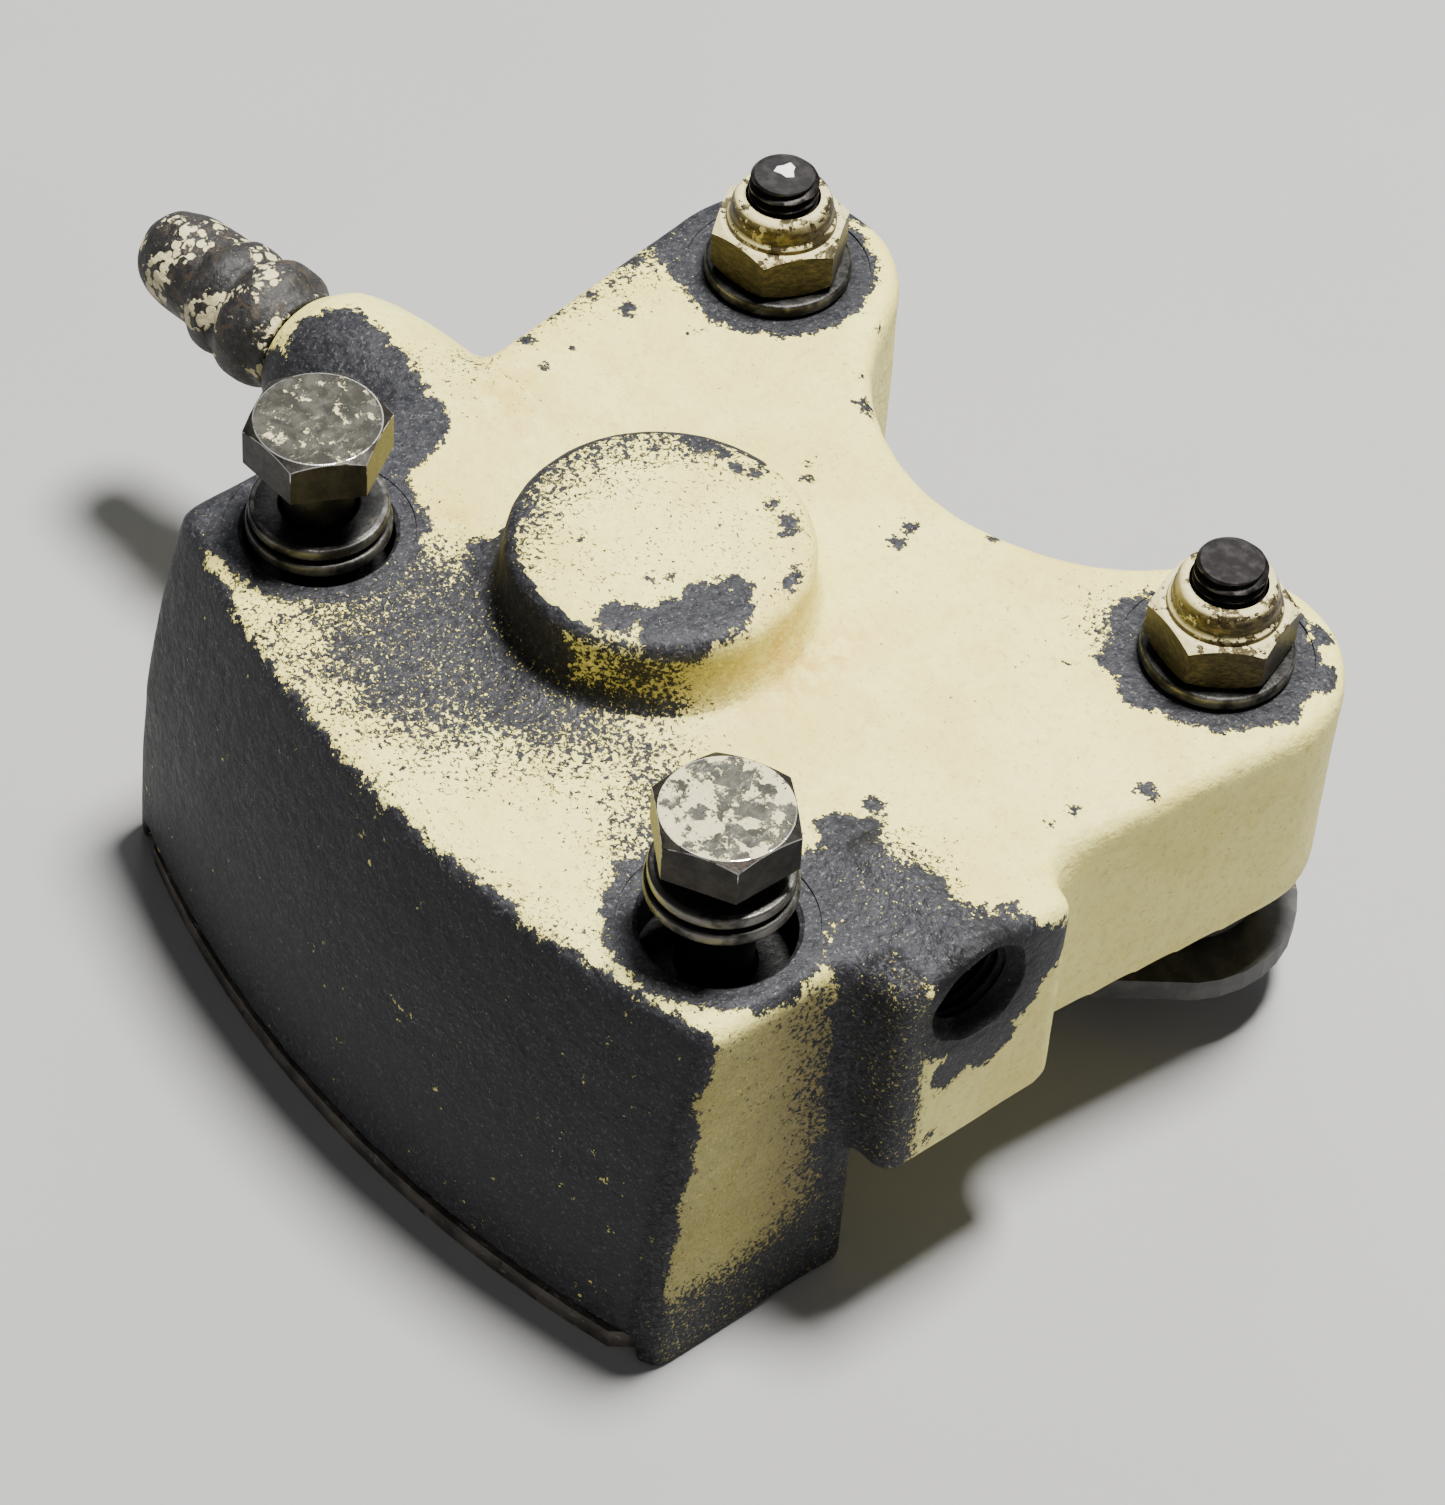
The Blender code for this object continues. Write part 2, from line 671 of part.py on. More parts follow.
def lining_outline():
    outer = disc_arc(LINING_OUTER_R, -LINING_HALF_X, LINING_HALF_X, 10)
    inner = disc_arc(LINING_INNER_R, LINING_HALF_X - 3, -LINING_HALF_X + 3, 10)
    return outer + inner


def lining(z_low, parent, name, look, origin=(0, 0, 0)):
    pad = add_object(name, prism(lining_outline(), z_low, z_low + LINING_T), look, origin, parent)
    bottom = z_low - 1
    top = z_low + GROOVE_D
    if z_low < DISC_Z:
        bottom = z_low + LINING_T - GROOVE_D
        top = z_low + LINING_T + 1
    groove = box(-GROOVE_HALF_W, GROOVE_HALF_W, 0, 60, bottom, top)
    return smooth(cut(pad, groove, "groove"))


def build_pads(steel, friction):
    outer = add_object("outer_pad_backing", prism(backing_outline(), OUTER_BACKING_Z,
                                                  OUTER_BACKING_Z + BACKING_T), steel)
    for side in (1, -1):
        dowel = place(rod(DOWEL_R, 1.5, OUTER_BACKING_Z + 1, 16), side * DOWEL_X, DOWEL_Y)
        join(outer, dowel, "dowel_a" if side > 0 else "dowel_b")
    smooth(outer)
    lining(OUTER_LINING_Z, None, "outer_pad_lining", friction)
    carrier = empty("inner_pad_slide", (BORE_X, BORE_Y, INNER_BACKING_Z))
    start = (BORE_X, BORE_Y, INNER_BACKING_Z)
    backing = prism(backing_outline(), INNER_BACKING_Z, INNER_BACKING_Z + BACKING_T)
    smooth(add_object("inner_pad_backing", backing, steel, start, carrier))
    lining(INNER_LINING_Z, carrier, "inner_pad_lining", friction, start)


def build_pad_spring(steel):
    """Leaf spring between the outer wall and the pads' outer edges."""
    wall = outer_arc_y(WALL_INNER_R, 0) + GAP
    rise = PAD_SHOULDER_Y - GAP - SPRING_SHEET_T - wall
    steps = 28
    lower = []
    for i in range(steps + 1):
        x = -SPRING_HALF_X + 2 * SPRING_HALF_X * i / steps
        wave = (1 - math.cos(2 * math.pi * x / SPRING_HALF_X)) / 2
        drop = (x / WALL_INNER_R) ** 2 * WALL_INNER_R / 2
        lower.append((x, wall + drop + (rise - drop) * wave))
    upper = [(x, y + SPRING_SHEET_T) for x, y in reversed(lower)]
    spring = prism(lower + upper, SPRING_Z, SPRING_Z + SPRING_W)
    return smooth(add_object("pad_spring", spring, steel), 50)


# ---------------------------------------------------------------- cylinder contents

def build_piston(chrome):
    radius = BORE_R - GAP
    top = PISTON_Z + PISTON_L
    inner = radius - PISTON_WALL
    profile = [
        (0, top - 4), (inner, top - 4), (inner, PISTON_Z), (radius, PISTON_Z),
        (radius, PISTON_Z + 1), (radius - 0.8, PISTON_Z + 1.4), (radius - 0.8, PISTON_Z + 2.2),
        (radius, PISTON_Z + 2.6), (radius, top - 1), (radius - 1, top), (0, top),
    ]
    origin = (BORE_X, BORE_Y, PISTON_Z)
    piston = place(turned(profile, FINE), BORE_X, BORE_Y)
    return smooth(add_object("piston", piston, chrome, origin))


def build_seals(rubber):
    seals = (
        ("piston_seal", SEAL_GROOVE_R, SEAL_GROOVE_Z, SEAL_GROOVE_H),
        ("dust_seal", DUST_GROOVE_R, DUST_GROOVE_Z, DUST_GROOVE_H),
    )
    for name, groove_r, z, height in seals:
        seal = ring(BORE_R, groove_r - GAP, z + GAP, z + height - GAP, FINE)
        smooth(add_object(name, place(seal, BORE_X, BORE_Y), rubber))


# ---------------------------------------------------------------- bolts and washers

def chamfered_hex(obj, across_flats, z_low, z_high, x, y, both_ends=False):
    """Trim a hexagon's corners with a cone at its top, and at its bottom if asked."""
    corner = across_flats / math.sqrt(3) + GAP
    flat = across_flats / 2 * 0.97
    slope = (corner - flat) * math.tan(math.radians(30))
    low = [(0, z_low - 1), (corner, z_low - 1)]
    if both_ends:
        low = [(0, z_low), (flat, z_low), (corner, z_low + slope)]
    trim = turned(low + [(corner, z_high - slope), (flat, z_high), (0, z_high)], FINE)
    return combine(obj, "INTERSECT", place(trim, x, y), "corner_trim")


def build_bolt(name, x, head_z, turn, steel):
    origin = (x, 0, head_z)
    head = place(hexagon(HEX_AF, head_z, head_z + HEAD_H, turn), x)
    bolt = add_object(name, head, steel, origin)
    chamfered_hex(bolt, HEX_AF, head_z, head_z + HEAD_H, x, 0)
    tip = head_z - BOLT_SHANK_L
    profile = [(0, tip), (M8_R - 0.8, tip), (M8_R, tip + 0.8), (M8_R, head_z + 1), (0, head_z + 1)]
    join(bolt, place(turned(profile, COARSE), x), "shank")
    return smooth(bolt, 30)


def build_washers(side, x, z, steel):
    bore = M8_R + GAP
    flat = place(ring(bore, BOLT_WASHER_R, z, z + FLAT_T, FINE), x)
    smooth(add_object(f"{side}_flat_washer", flat, steel, (x, 0, z)))
    low = z + FLAT_T + WASHER_PITCH_GAP
    coil = place(ring(bore, BOLT_WASHER_R - 0.3, low, low + SPRING_T, FINE), x)
    washer = add_object(f"{side}_spring_washer", coil, steel, (x, 0, z))
    split = place(box(0, 10, -0.35, 0.35, low - 1, low + SPRING_T + 1), x)
    return smooth(cut(washer, split, "split"))


# ---------------------------------------------------------------- guide pins

def build_guide_pin(side, x, steel):
    shoulder = BOOT_POCKET_TOP_Z - GAP
    flange_low = shoulder - PIN_FLANGE_T
    profile = [
        (0, PIN_BOTTOM_Z), (PIN_R - 1, PIN_BOTTOM_Z), (PIN_R, PIN_BOTTOM_Z + 1),
        (PIN_R, flange_low), (PIN_FLANGE_R, flange_low), (PIN_FLANGE_R, shoulder),
        (M8_R, shoulder), (M8_R, STUD_TOP_Z - 1), (M8_R - 1, STUD_TOP_Z), (0, STUD_TOP_Z),
    ]
    pin = place(turned(profile, COARSE), x, PIN_Y)
    return smooth(add_object(f"{side}_guide_pin", pin, steel))


def build_pin_nut(side, x, turn, washer_look, nut_look):
    bore = M8_R + GAP
    seat = TOP_Z - SPOT_D + GAP
    washer = place(ring(bore, STUD_WASHER_R, seat, seat + STUD_WASHER_T, FINE), x, PIN_Y)
    smooth(add_object(f"{side}_stud_washer", washer, washer_look))
    low = seat + STUD_WASHER_T + GAP
    high = low + NUT_HEX_H
    body = place(hexagon(HEX_AF, low, high, turn), x, PIN_Y)
    nut = add_object(f"{side}_lock_nut", body, nut_look)
    chamfered_hex(nut, HEX_AF, low, high, x, PIN_Y, both_ends=True)
    collar = turned([
        (0, high - 1), (NUT_COLLAR_R, high - 1), (NUT_COLLAR_R, high + NUT_COLLAR_H - 1),
        (NUT_COLLAR_R - 1, high + NUT_COLLAR_H), (0, high + NUT_COLLAR_H),
    ], COARSE)
    join(nut, place(collar, x, PIN_Y), "collar")
    cut(nut, place(rod(bore, low - 1, high + NUT_COLLAR_H + 1), x, PIN_Y), "thread")
    return smooth(nut, 30)


# ---------------------------------------------------------------- bracket

def bracket_outline():
    edge = (BRACKET_EDGE_X, BRACKET_EDGE_Y)
    start = tangent_angle(edge, PIN_X, PIN_Y, BRACKET_END_R, 1)
    right = [(-BRACKET_EDGE_X + 2, BRACKET_EDGE_Y), (BRACKET_EDGE_X - 2, BRACKET_EDGE_Y)]
    right.append((BRACKET_EDGE_X, BRACKET_EDGE_Y + 1.5))
    right += arc(PIN_X, PIN_Y, BRACKET_END_R, start + 4, 110, 12)
    right += arc(LUG_X, LUG_Y, LUG_R, 50, 135, 6)
    left = [(-x, y) for x, y in reversed(right[2:])]
    return right + left


def build_bracket(steel, bush_look, rubber):
    carrier = empty("bracket_slide", (0, PIN_Y, BRACKET_Z))
    origin = (0, PIN_Y, BRACKET_Z)
    top = BRACKET_Z + BRACKET_T
    plate = add_object("bracket_plate", prism(bracket_outline(), BRACKET_Z, top), steel, origin, carrier)
    for side, name in ((1, "right"), (-1, "left")):
        hole = place(rod(BUSH_R + GAP, BRACKET_Z - 1, top + 1), side * PIN_X, PIN_Y)
        cut(plate, hole, f"{name}_bush_hole")
        lug = place(rod(LUG_HOLE_R, BRACKET_Z - 1, top + 1), side * LUG_X, LUG_Y)
        cut(plate, lug, f"{name}_lug_hole")
        build_bush(name, side * PIN_X, top, bush_look, carrier)
        build_boot(name, side * PIN_X, top + GAP, rubber)
    return smooth(plate, 40)


def build_bush(side, x, plate_top, look, carrier):
    low = BRACKET_Z
    bore = PIN_R + GAP
    profile = [
        (bore, low), (BUSH_R, low), (BUSH_R, plate_top + GAP), (BUSH_HEAD_R, plate_top + GAP),
        (BUSH_HEAD_R, plate_top + GAP + BUSH_HEAD_T), (BUSH_R, plate_top + GAP + BUSH_HEAD_T),
        (BUSH_R, low + BUSH_L), (bore, low + BUSH_L),
    ]
    bush = place(turned(profile, COARSE), x, PIN_Y)
    return smooth(add_object(f"{side}_bush", bush, look, (x, PIN_Y, BRACKET_Z), carrier))


def build_boot(side, x, low, rubber):
    """Bellows from the bracket to the pocket in the ear."""
    foot = low + BUSH_HEAD_T + 2 * GAP
    high = BOOT_POCKET_TOP_Z - GAP - PIN_FLANGE_T - GAP
    inner = BUSH_R + GAP
    outside = []
    inside = []
    for i in range(2 * BOOT_FOLDS + 1):
        z = foot + (high - foot) * i / (2 * BOOT_FOLDS)
        crest = BOOT_R if i % 2 == 0 else BOOT_R - BOOT_FOLD_D
        outside.append((crest, z))
        inside.append((crest - BOOT_WALL if 0 < i < 2 * BOOT_FOLDS else inner, z))
    boot = place(turned(outside + inside[::-1], COARSE), x, PIN_Y)
    return smooth(add_object(f"{side}_pin_boot", boot, rubber))


# ---------------------------------------------------------------- bleed screw

def build_bleed_screw(steel, rubber):
    carrier = empty("bleed_turn", (BLEED_FACE_X, BLEED_FACE_Y, BLEED_Z))
    origin = (BLEED_FACE_X, BLEED_FACE_Y, BLEED_Z)
    shank = BLEED_HOLE_R - GAP
    profile = [
        (0, -BLEED_HOLE_L), (shank, 1.6 - BLEED_HOLE_L), (shank, GAP), (shank, 1.5),
        (2.2, 6.5), (2.2, 13), (3.0, 14), (3.0, 16), (2.0, 18.5), (0, 18.5),
    ]
    screw = add_object("bleed_screw", bleed_frame(turned(profile, COARSE)), steel, origin, carrier)
    join(screw, bleed_frame(hexagon(BLEED_HEX_AF, 0.6, 5.6)), "hexagon")
    cut(screw, bleed_frame(rod(0.9, -BLEED_HOLE_L + 4, 20, 12)), "drilling")
    smooth(screw)
    cap = [
        (CAP_INNER_R, GAP), (CAP_R, GAP), (CAP_R, 2.6), (CAP_FLANGE_R, 4.2), (CAP_FLANGE_R, 6.8),
        (CAP_R, 8.0), (CAP_R, 8.8), (CAP_BULGE_R, 9.8), (CAP_BULGE_R - 0.3, 12.6),
        (CAP_DOME_R, 14.0),
    ]
    for angle in (0, 25, 50, 70):
        a = math.radians(angle)
        z = CAP_L - CAP_DOME_L * (1 - math.sin(a))
        cap.append((CAP_DOME_R * math.cos(a), z))
    cap += [(0, CAP_L), (0, 19.4), (3.4, 19), (3.4, 7), (CAP_INNER_R, 6.2)]
    cover = bleed_frame(turned(cap, COARSE))
    return smooth(add_object("bleed_cap", cover, rubber, origin, carrier), 50)


# ---------------------------------------------------------------- assembly

def main():
    for obj in list(bpy.data.objects):
        bpy.data.objects.remove(obj, do_unlink=True)
    paint = material("cream_paint", (0.86, 0.82, 0.64), 0.55, 0.0)
    bare = material("bare_steel", (0.36, 0.34, 0.31), 0.45, 0.9)
    dark = material("dark_steel", (0.10, 0.10, 0.10), 0.4, 0.9)
    brown = material("browned_steel", (0.22, 0.19, 0.13), 0.45, 0.8)
    black = material("black_bracket", (0.04, 0.04, 0.045), 0.5, 0.3)
    chrome = material("piston_chrome", (0.7, 0.7, 0.72), 0.15, 1.0)
    rubber = material("black_rubber", (0.03, 0.03, 0.03), 0.7, 0.0)
    friction = material("friction_lining", (0.12, 0.10, 0.09), 0.9, 0.0)
    build_casting(paint)
    build_reaction_plate(bare)
    build_pads(dark, friction)
    build_pad_spring(bare)
    build_piston(chrome)
    build_seals(rubber)
    build_bolt("front_bolt", BOLT_X, SEATED_BOLT_Z + FRONT_BACKED_OUT, 29, dark)
    build_bolt("rear_bolt", -BOLT_X, SEATED_BOLT_Z + REAR_BACKED_OUT, 3, dark)
    build_washers("front", BOLT_X, WASHER_SEAT_Z + FRONT_WASHER_LIFT, dark)
    build_washers("rear", -BOLT_X, WASHER_SEAT_Z + REAR_WASHER_LIFT, dark)
    for side, name, turn in ((1, "right", 50), (-1, "left", 7)):
        build_guide_pin(name, side * PIN_X, dark)
        build_pin_nut(name, side * PIN_X, turn, dark, brown)
    build_bracket(black, brown, rubber)
    build_bleed_screw(brown, rubber)


main()
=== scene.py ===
"""Surfaces, fine shapes, floor and light of the floating disc brake caliper.

Meshes are made in millimetres in the caliper's own frame and turned into metres when
they become pieces, so Object texture coordinates are places on the caliper.
"""
import math

import bmesh
import bpy
import numpy as np
from mathutils import Matrix, Vector, noise


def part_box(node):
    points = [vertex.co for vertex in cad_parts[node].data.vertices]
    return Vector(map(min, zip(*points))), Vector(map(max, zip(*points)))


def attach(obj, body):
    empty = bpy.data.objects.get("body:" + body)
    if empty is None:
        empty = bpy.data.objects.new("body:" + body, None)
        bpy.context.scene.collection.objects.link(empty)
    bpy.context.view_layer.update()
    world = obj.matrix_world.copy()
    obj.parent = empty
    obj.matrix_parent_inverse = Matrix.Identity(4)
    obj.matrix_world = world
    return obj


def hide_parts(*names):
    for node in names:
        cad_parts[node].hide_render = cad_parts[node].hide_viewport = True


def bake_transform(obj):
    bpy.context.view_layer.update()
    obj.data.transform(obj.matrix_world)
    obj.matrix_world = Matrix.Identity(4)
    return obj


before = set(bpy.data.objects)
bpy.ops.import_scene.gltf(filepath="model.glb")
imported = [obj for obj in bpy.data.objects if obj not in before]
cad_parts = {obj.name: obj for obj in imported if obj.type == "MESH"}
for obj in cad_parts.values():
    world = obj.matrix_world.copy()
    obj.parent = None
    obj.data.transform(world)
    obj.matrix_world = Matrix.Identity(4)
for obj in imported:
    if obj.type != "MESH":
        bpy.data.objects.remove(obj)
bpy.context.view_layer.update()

MM = 0.001
SKIN_CELL, FILL_STEPS, EASE_STEPS = ((0.6, 70, 7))


# ---------------------------------------------------------------- places from the frame

def low(node):
    """Lowest corner of a part of the frame, in millimetres."""
    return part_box(node)[0] / MM


def high(node):
    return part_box(node)[1] / MM


def middle(node):
    return (low(node) + high(node)) / 2


GAP = 0.3
TOP_Z = low("left_stud_washer").z           # within a spot face's depth of the flat top
SPOT_D = 0.3
SLAB_BOTTOM_Z = 21.5
DISC_CENTRE_Y = 122.6
OUTER_R = 141.0                             # outer wall's top edge, about the disc's axis
OUTER_SPREAD = 6.0                          # how much further out its foot is
BOLT_HEAD_H = 5.3
NUT_COLLAR_H = 3.6
BOLTS = {name: middle(f"{name}_bolt") for name in ("front", "rear")}
STUDS = {name: middle(f"{name}_guide_pin") for name in ("right", "left")}
HEX_AF = 14.0
HEX_R = HEX_AF / math.sqrt(3)
M8_R = 3.95
M8_PITCH = 1.25
BOLT_HOLE_R = M8_R + 0.45
COUNTERBORE_R = HEX_R + 0.15
COUNTERBORE_D = 6.0
BOLT_SPOT_R = COUNTERBORE_R + 2.4
STUD_SPOT_R = HEX_R + GAP + 2.4
SPLIT_ANGLE = math.radians(118)             # where the spring washers are split
BOOT_POCKET_R = 9.8
BOOT_POCKET_TOP_Z = 31.5
BORE = middle("piston")
BORE_R = 13.5
BORE_TOP_Z = high("piston").z + 2.5
BOSS_R = 16.8
BOSS_TOP_Z = TOP_Z + 10.0
PORT = Vector((54.0, 18.6, TOP_Z - 6.0))
PORT_R = 5.0
PORT_DEPTH = 18.0
BLEED_FACE = Vector((-67.2, 21.4, TOP_Z - 11.0))
BLEED_TILT = math.radians(6.8)
BLEED_HOLE_R = 3.4
BLEED_HOLE_L = 20.0


# ---------------------------------------------------------------- shader expressions

class Value:
    """A shader socket that can be used in Python sums, products and comparisons."""

    def __init__(self, finish, socket):
        self.finish = finish
        self.socket = socket

    def maths(self, operation, first, second=0.0):
        return self.finish.node("ShaderNodeMath", {"operation": operation}, {0: first, 1: second})

    def __add__(self, other):
        return self.maths("ADD", self, other)

    def __radd__(self, other):
        return self.maths("ADD", other, self)

    def __sub__(self, other):
        return self.maths("SUBTRACT", self, other)

    def __rsub__(self, other):
        return self.maths("SUBTRACT", other, self)

    def __mul__(self, other):
        return self.maths("MULTIPLY", self, other)

    def __rmul__(self, other):
        return self.maths("MULTIPLY", other, self)

    def __or__(self, other):
        """The larger of two masks."""
        return self.maths("MAXIMUM", self, other)

    def between(self, start, end):
        """0 at start, 1 at end, with a soft run in between."""
        return self.finish.node("ShaderNodeMapRange", {"interpolation_type": "SMOOTHSTEP"},
                                {0: self, 1: start, 2: end})


class Finish:
    """A procedural material on the Principled shader. Lengths in it are millimetres."""

    def __init__(self, name):
        self.material = bpy.data.materials.new(name)
        self.material.use_nodes = True
        self.tree = self.material.node_tree
        self.shader = self.tree.nodes["Principled BSDF"]
        place = self.node("ShaderNodeTexCoord", output="Object")
        self.place = self.vector("SCALE", place, Scale=1 / MM)

    def node(self, kind, settings=None, inputs=None, output=0):
        """Any node: its type, its settings, and the values or links of its sockets."""
        made = self.tree.nodes.new(kind)
        for key, value in (settings or {}).items():
            setattr(made, key, value)
        for key, value in (inputs or {}).items():
            self.feed(made.inputs[key], value)
        return Value(self, made.outputs[output])

    def feed(self, socket, value):
        if isinstance(value, Value):
            self.tree.links.new(value.socket, socket)
        else:
            socket.default_value = value

    def vector(self, operation, *operands, **named):
        inputs = dict(enumerate(operands))
        inputs.update(named)
        return self.node("ShaderNodeVectorMath", {"operation": operation}, inputs)

    def length(self, operand):
        return self.node("ShaderNodeVectorMath", {"operation": "LENGTH"}, {0: operand}, "Value")

    def grain(self, size, detail=3.0, roughness=0.55, stretch=(1, 1, 1), shift=0.0, distortion=0.0):
        """Noise from 0 to 1 whose lumps are about size millimetres across."""
        spot = self.vector("MULTIPLY_ADD", self.place, stretch, (shift, shift, shift))
        return self.node("ShaderNodeTexNoise", None, {
            "Vector": spot, "Scale": 1 / size, "Detail": detail, "Roughness": roughness,
            "Distortion": distortion})

    def pits(self, size):
        """Distance from scattered points, in cells of about size millimetres."""
        return self.node("ShaderNodeTexVoronoi", None, {"Vector": self.place, "Scale": 1 / size})

    def painted(self, name):
        """A number that the mesh carries at each point."""
        return self.node("ShaderNodeAttribute", {"attribute_name": name}, output="Fac")

    def mix(self, share, first, second):
        """First colour where share is 0, second where it is 1."""
        made = self.tree.nodes.new("ShaderNodeMix")
        made.data_type = "RGBA"
        for index, value in ((0, share), (6, first), (7, second)):
            if isinstance(value, tuple):
                value = (*value, 1.0)
            self.feed(made.inputs[index], value)
        return Value(self, made.outputs[2])

    def blend(self, share, first, second):
        """The same for numbers."""
        return share * (second - first) + first

    def from_axis(self, x, y):
        """Distance from an upright axis."""
        flat = self.vector("MULTIPLY_ADD", self.place, (1, 1, 0), (-x, -y, 0))
        return self.length(flat)

    def height(self):
        return self.node("ShaderNodeSeparateXYZ", None, {0: self.place}, "Z")

    def facing(self, x, y, z):
        """How far the surface faces a direction, from -1 to 1."""
        normal = self.node("ShaderNodeNewGeometry", output="Normal")
        return self.node("ShaderNodeVectorMath", {"operation": "DOT_PRODUCT"},
                         {0: normal, 1: (x, y, z)}, "Value")

    def relief(self, rise):
        """Bump from a height in millimetres."""
        bump = self.node("ShaderNodeBump", None, {"Height": rise, "Distance": MM, "Strength": 1.0})
        self.feed(self.shader.inputs["Normal"], bump)

    def colour(self, value):
        self.feed(self.shader.inputs["Base Color"], value)

    def rough(self, value):
        self.feed(self.shader.inputs["Roughness"], value)

    def metal(self, value):
        self.feed(self.shader.inputs["Metallic"], value)


# ---------------------------------------------------------------- finishes

CREAM = (0.90, 0.825, 0.27)
CREAM_SHADE = (0.82, 0.715, 0.20)
STAIN = (0.66, 0.44, 0.09)
SOIL = (0.115, 0.085, 0.042)
ALLOY = (0.020, 0.020, 0.024)
ALLOY_PALE = (0.044, 0.045, 0.050)
RUBBED = (0.13, 0.13, 0.135)
# painted shade: the near-black laid inside the holes and the port's mouth
PAINTED_HOLE_SHADE = (0.006, 0.006, 0.006)
BRIGHT = (0.50, 0.49, 0.47)
RUST = (0.060, 0.030, 0.016)


def casting_finish():
    """Cream paint on a cast alloy, lost where the mesh says bare and flecked where it says worn."""
    f = Finish("cast alloy, chipped cream paint")
    f.shader.inputs["Specular IOR Level"].default_value = 0.22
    worn = f.painted("worn")
    wall_smooth_and_shaded = f.painted("wall_smooth_and_shaded")
    ragged = (f.grain(3.0, 4, 0.68) - 0.5) * 5.0
    crumbs = (f.grain(0.62, 4, 0.7, shift=17) - 0.5) * 3.4
    lost = (f.painted("bare") + ragged + crumbs).between(-0.10, 0.10)
    fleck = f.grain(0.52, 4, 0.66, shift=5, distortion=0.5)
    clumps = f.grain(4.2, 3, 0.6, shift=31) - 0.5
    limit = 0.775 - 0.50 * (worn + clumps * 0.34)
    flecked = (fleck - limit).between(-0.012, 0.02)
    left = (f.grain(0.40, 3, 0.6, shift=43) - 0.76 + worn * 0.17).between(0.0, 0.03) * (1 - wall_smooth_and_shaded)
    bare = (lost | flecked) * (1 - left * 0.9)
    tone = f.grain(13, 3, 0.6, shift=9)
    paint = f.mix(tone.between(0.35, 0.72), CREAM, CREAM_SHADE)
    mottle = f.grain(1.3, 4, 0.75, shift=3).between(0.44, 0.78)
    paint = f.mix(mottle * 0.34, paint, (0.40, 0.32, 0.11))
    specks = (f.grain(0.7, 3, 0.7, shift=61) - 0.60).between(0, 0.08)
    paint = f.mix(specks * 0.35, paint, (0.24, 0.19, 0.08))
    paint = f.mix(f.painted("stain") * f.grain(2.6, 4, 0.7, shift=12).between(0.32, 0.62), paint, STAIN)
    soil = f.painted("soil")
    dirt = soil * (f.grain(0.62, 4, 0.75, shift=27) + soil * 0.22).between(0.46, 0.66)
    paint = f.mix(dirt * 0.85, paint, SOIL)
    metal_tone = f.grain(1.0, 4, 0.72, shift=21).between(0.36, 0.70)
    alloy = f.mix(metal_tone, ALLOY, ALLOY_PALE)
    alloy = f.mix(f.grain(0.45, 3, 0.6, shift=51).between(0.56, 0.68) * 0.6, alloy, RUBBED)
    dust = (f.grain(0.5, 2, shift=77) - 0.735).between(0, 0.03) * 0.5
    # the outer wall's bare metal: its own near-black finish, made darker still as painted shade for the
    # light that only grazes it
    wall = f.mix(metal_tone, (0.0042, 0.0044, 0.0052), (0.0085, 0.0088, 0.0100))
    alloy = f.mix(wall_smooth_and_shaded, alloy, f.mix(dust, wall, (0.09, 0.09, 0.09)))
    # bare metal goes near black as painted shade inside the holes and the port's mouth
    f.colour(f.mix(bare, paint, f.mix(f.painted("painted_hole_shade"), alloy, PAINTED_HOLE_SHADE)))
    f.rough(f.blend(bare, 0.44 + mottle * 0.2, 0.50 + metal_tone * 0.16))
    f.metal(bare * (1 - wall_smooth_and_shaded) * 0.35)
    grit = f.grain(0.9, 3, 0.6, shift=7) * 0.20 + f.grain(0.36, 2, shift=8) * 0.06
    grit = grit + f.grain(2.0, 3, shift=71) * 0.22
    sand = f.blend(wall_smooth_and_shaded, 1.0, 0.12) + dirt * 0.9
    f.relief(grit * sand + (1 - bare) * 0.12 + f.grain(5.5, 2, shift=2) * 0.22)
    return f.material


def steel_finish(name, head_top=None, cling_share=0.0, edge=False):
    """Blackened steel. A head's top is rubbed and holds paint, and its upper edges are bright."""
    f = Finish(name)
    haze = f.grain(2.2, 4, 0.65)
    fine = f.grain(0.5, 3, 0.6, shift=4)
    dark = f.mix(haze.between(0.35, 0.7), (0.016, 0.014, 0.012), (0.040, 0.036, 0.031))
    dark = f.mix((f.grain(1.1, 3, 0.7, shift=19) - 0.60).between(0, 0.08) * 0.6, dark, RUST)
    shine = 0.36 + fine * 0.22
    rise = fine * 0.03 + haze * 0.04
    solid = 1.0
    if head_top is not None:
        upper = (f.height() - (head_top - 2.4)).between(0, 0.9)
        on_top = f.facing(0, 0, 1).between(0.86, 0.97) * upper
        smear = f.grain(0.9, 4, 0.75, stretch=(1, 0.55, 1), shift=33)
        tops = f.mix(haze.between(0.38, 0.66), (0.034, 0.033, 0.026), (0.085, 0.083, 0.066))
        dark = f.mix(on_top, dark, f.mix((smear - 0.58).between(0, 0.05) * 0.6, tops, (0.26, 0.24, 0.18)))
        if edge:
            rubbed = upper * (f.grain(1.6, 3, shift=6) - 0.40).between(-0.05, 0.08)
            dark = f.mix(rubbed, dark, BRIGHT)
            shine = f.blend(rubbed, shine, 0.25)
        cling = (f.grain(2.5, 4, 0.66, shift=head_top) - (0.60 - cling_share)).between(0.0, 0.05)
        cling = cling * on_top
        cling = cling * (0.66 - f.grain(0.6, 3, shift=15)).between(-0.06, 0.02)
        dark = f.mix(cling, dark, f.mix(fine, (0.66, 0.61, 0.36), (0.38, 0.34, 0.19)))
        shine = f.blend(cling, shine, 0.6)
        solid = 1 - cling
        rise = rise + cling * 0.09
    f.colour(dark)
    f.rough(shine)
    f.metal(solid * 0.75)
    f.relief(rise)
    return f.material


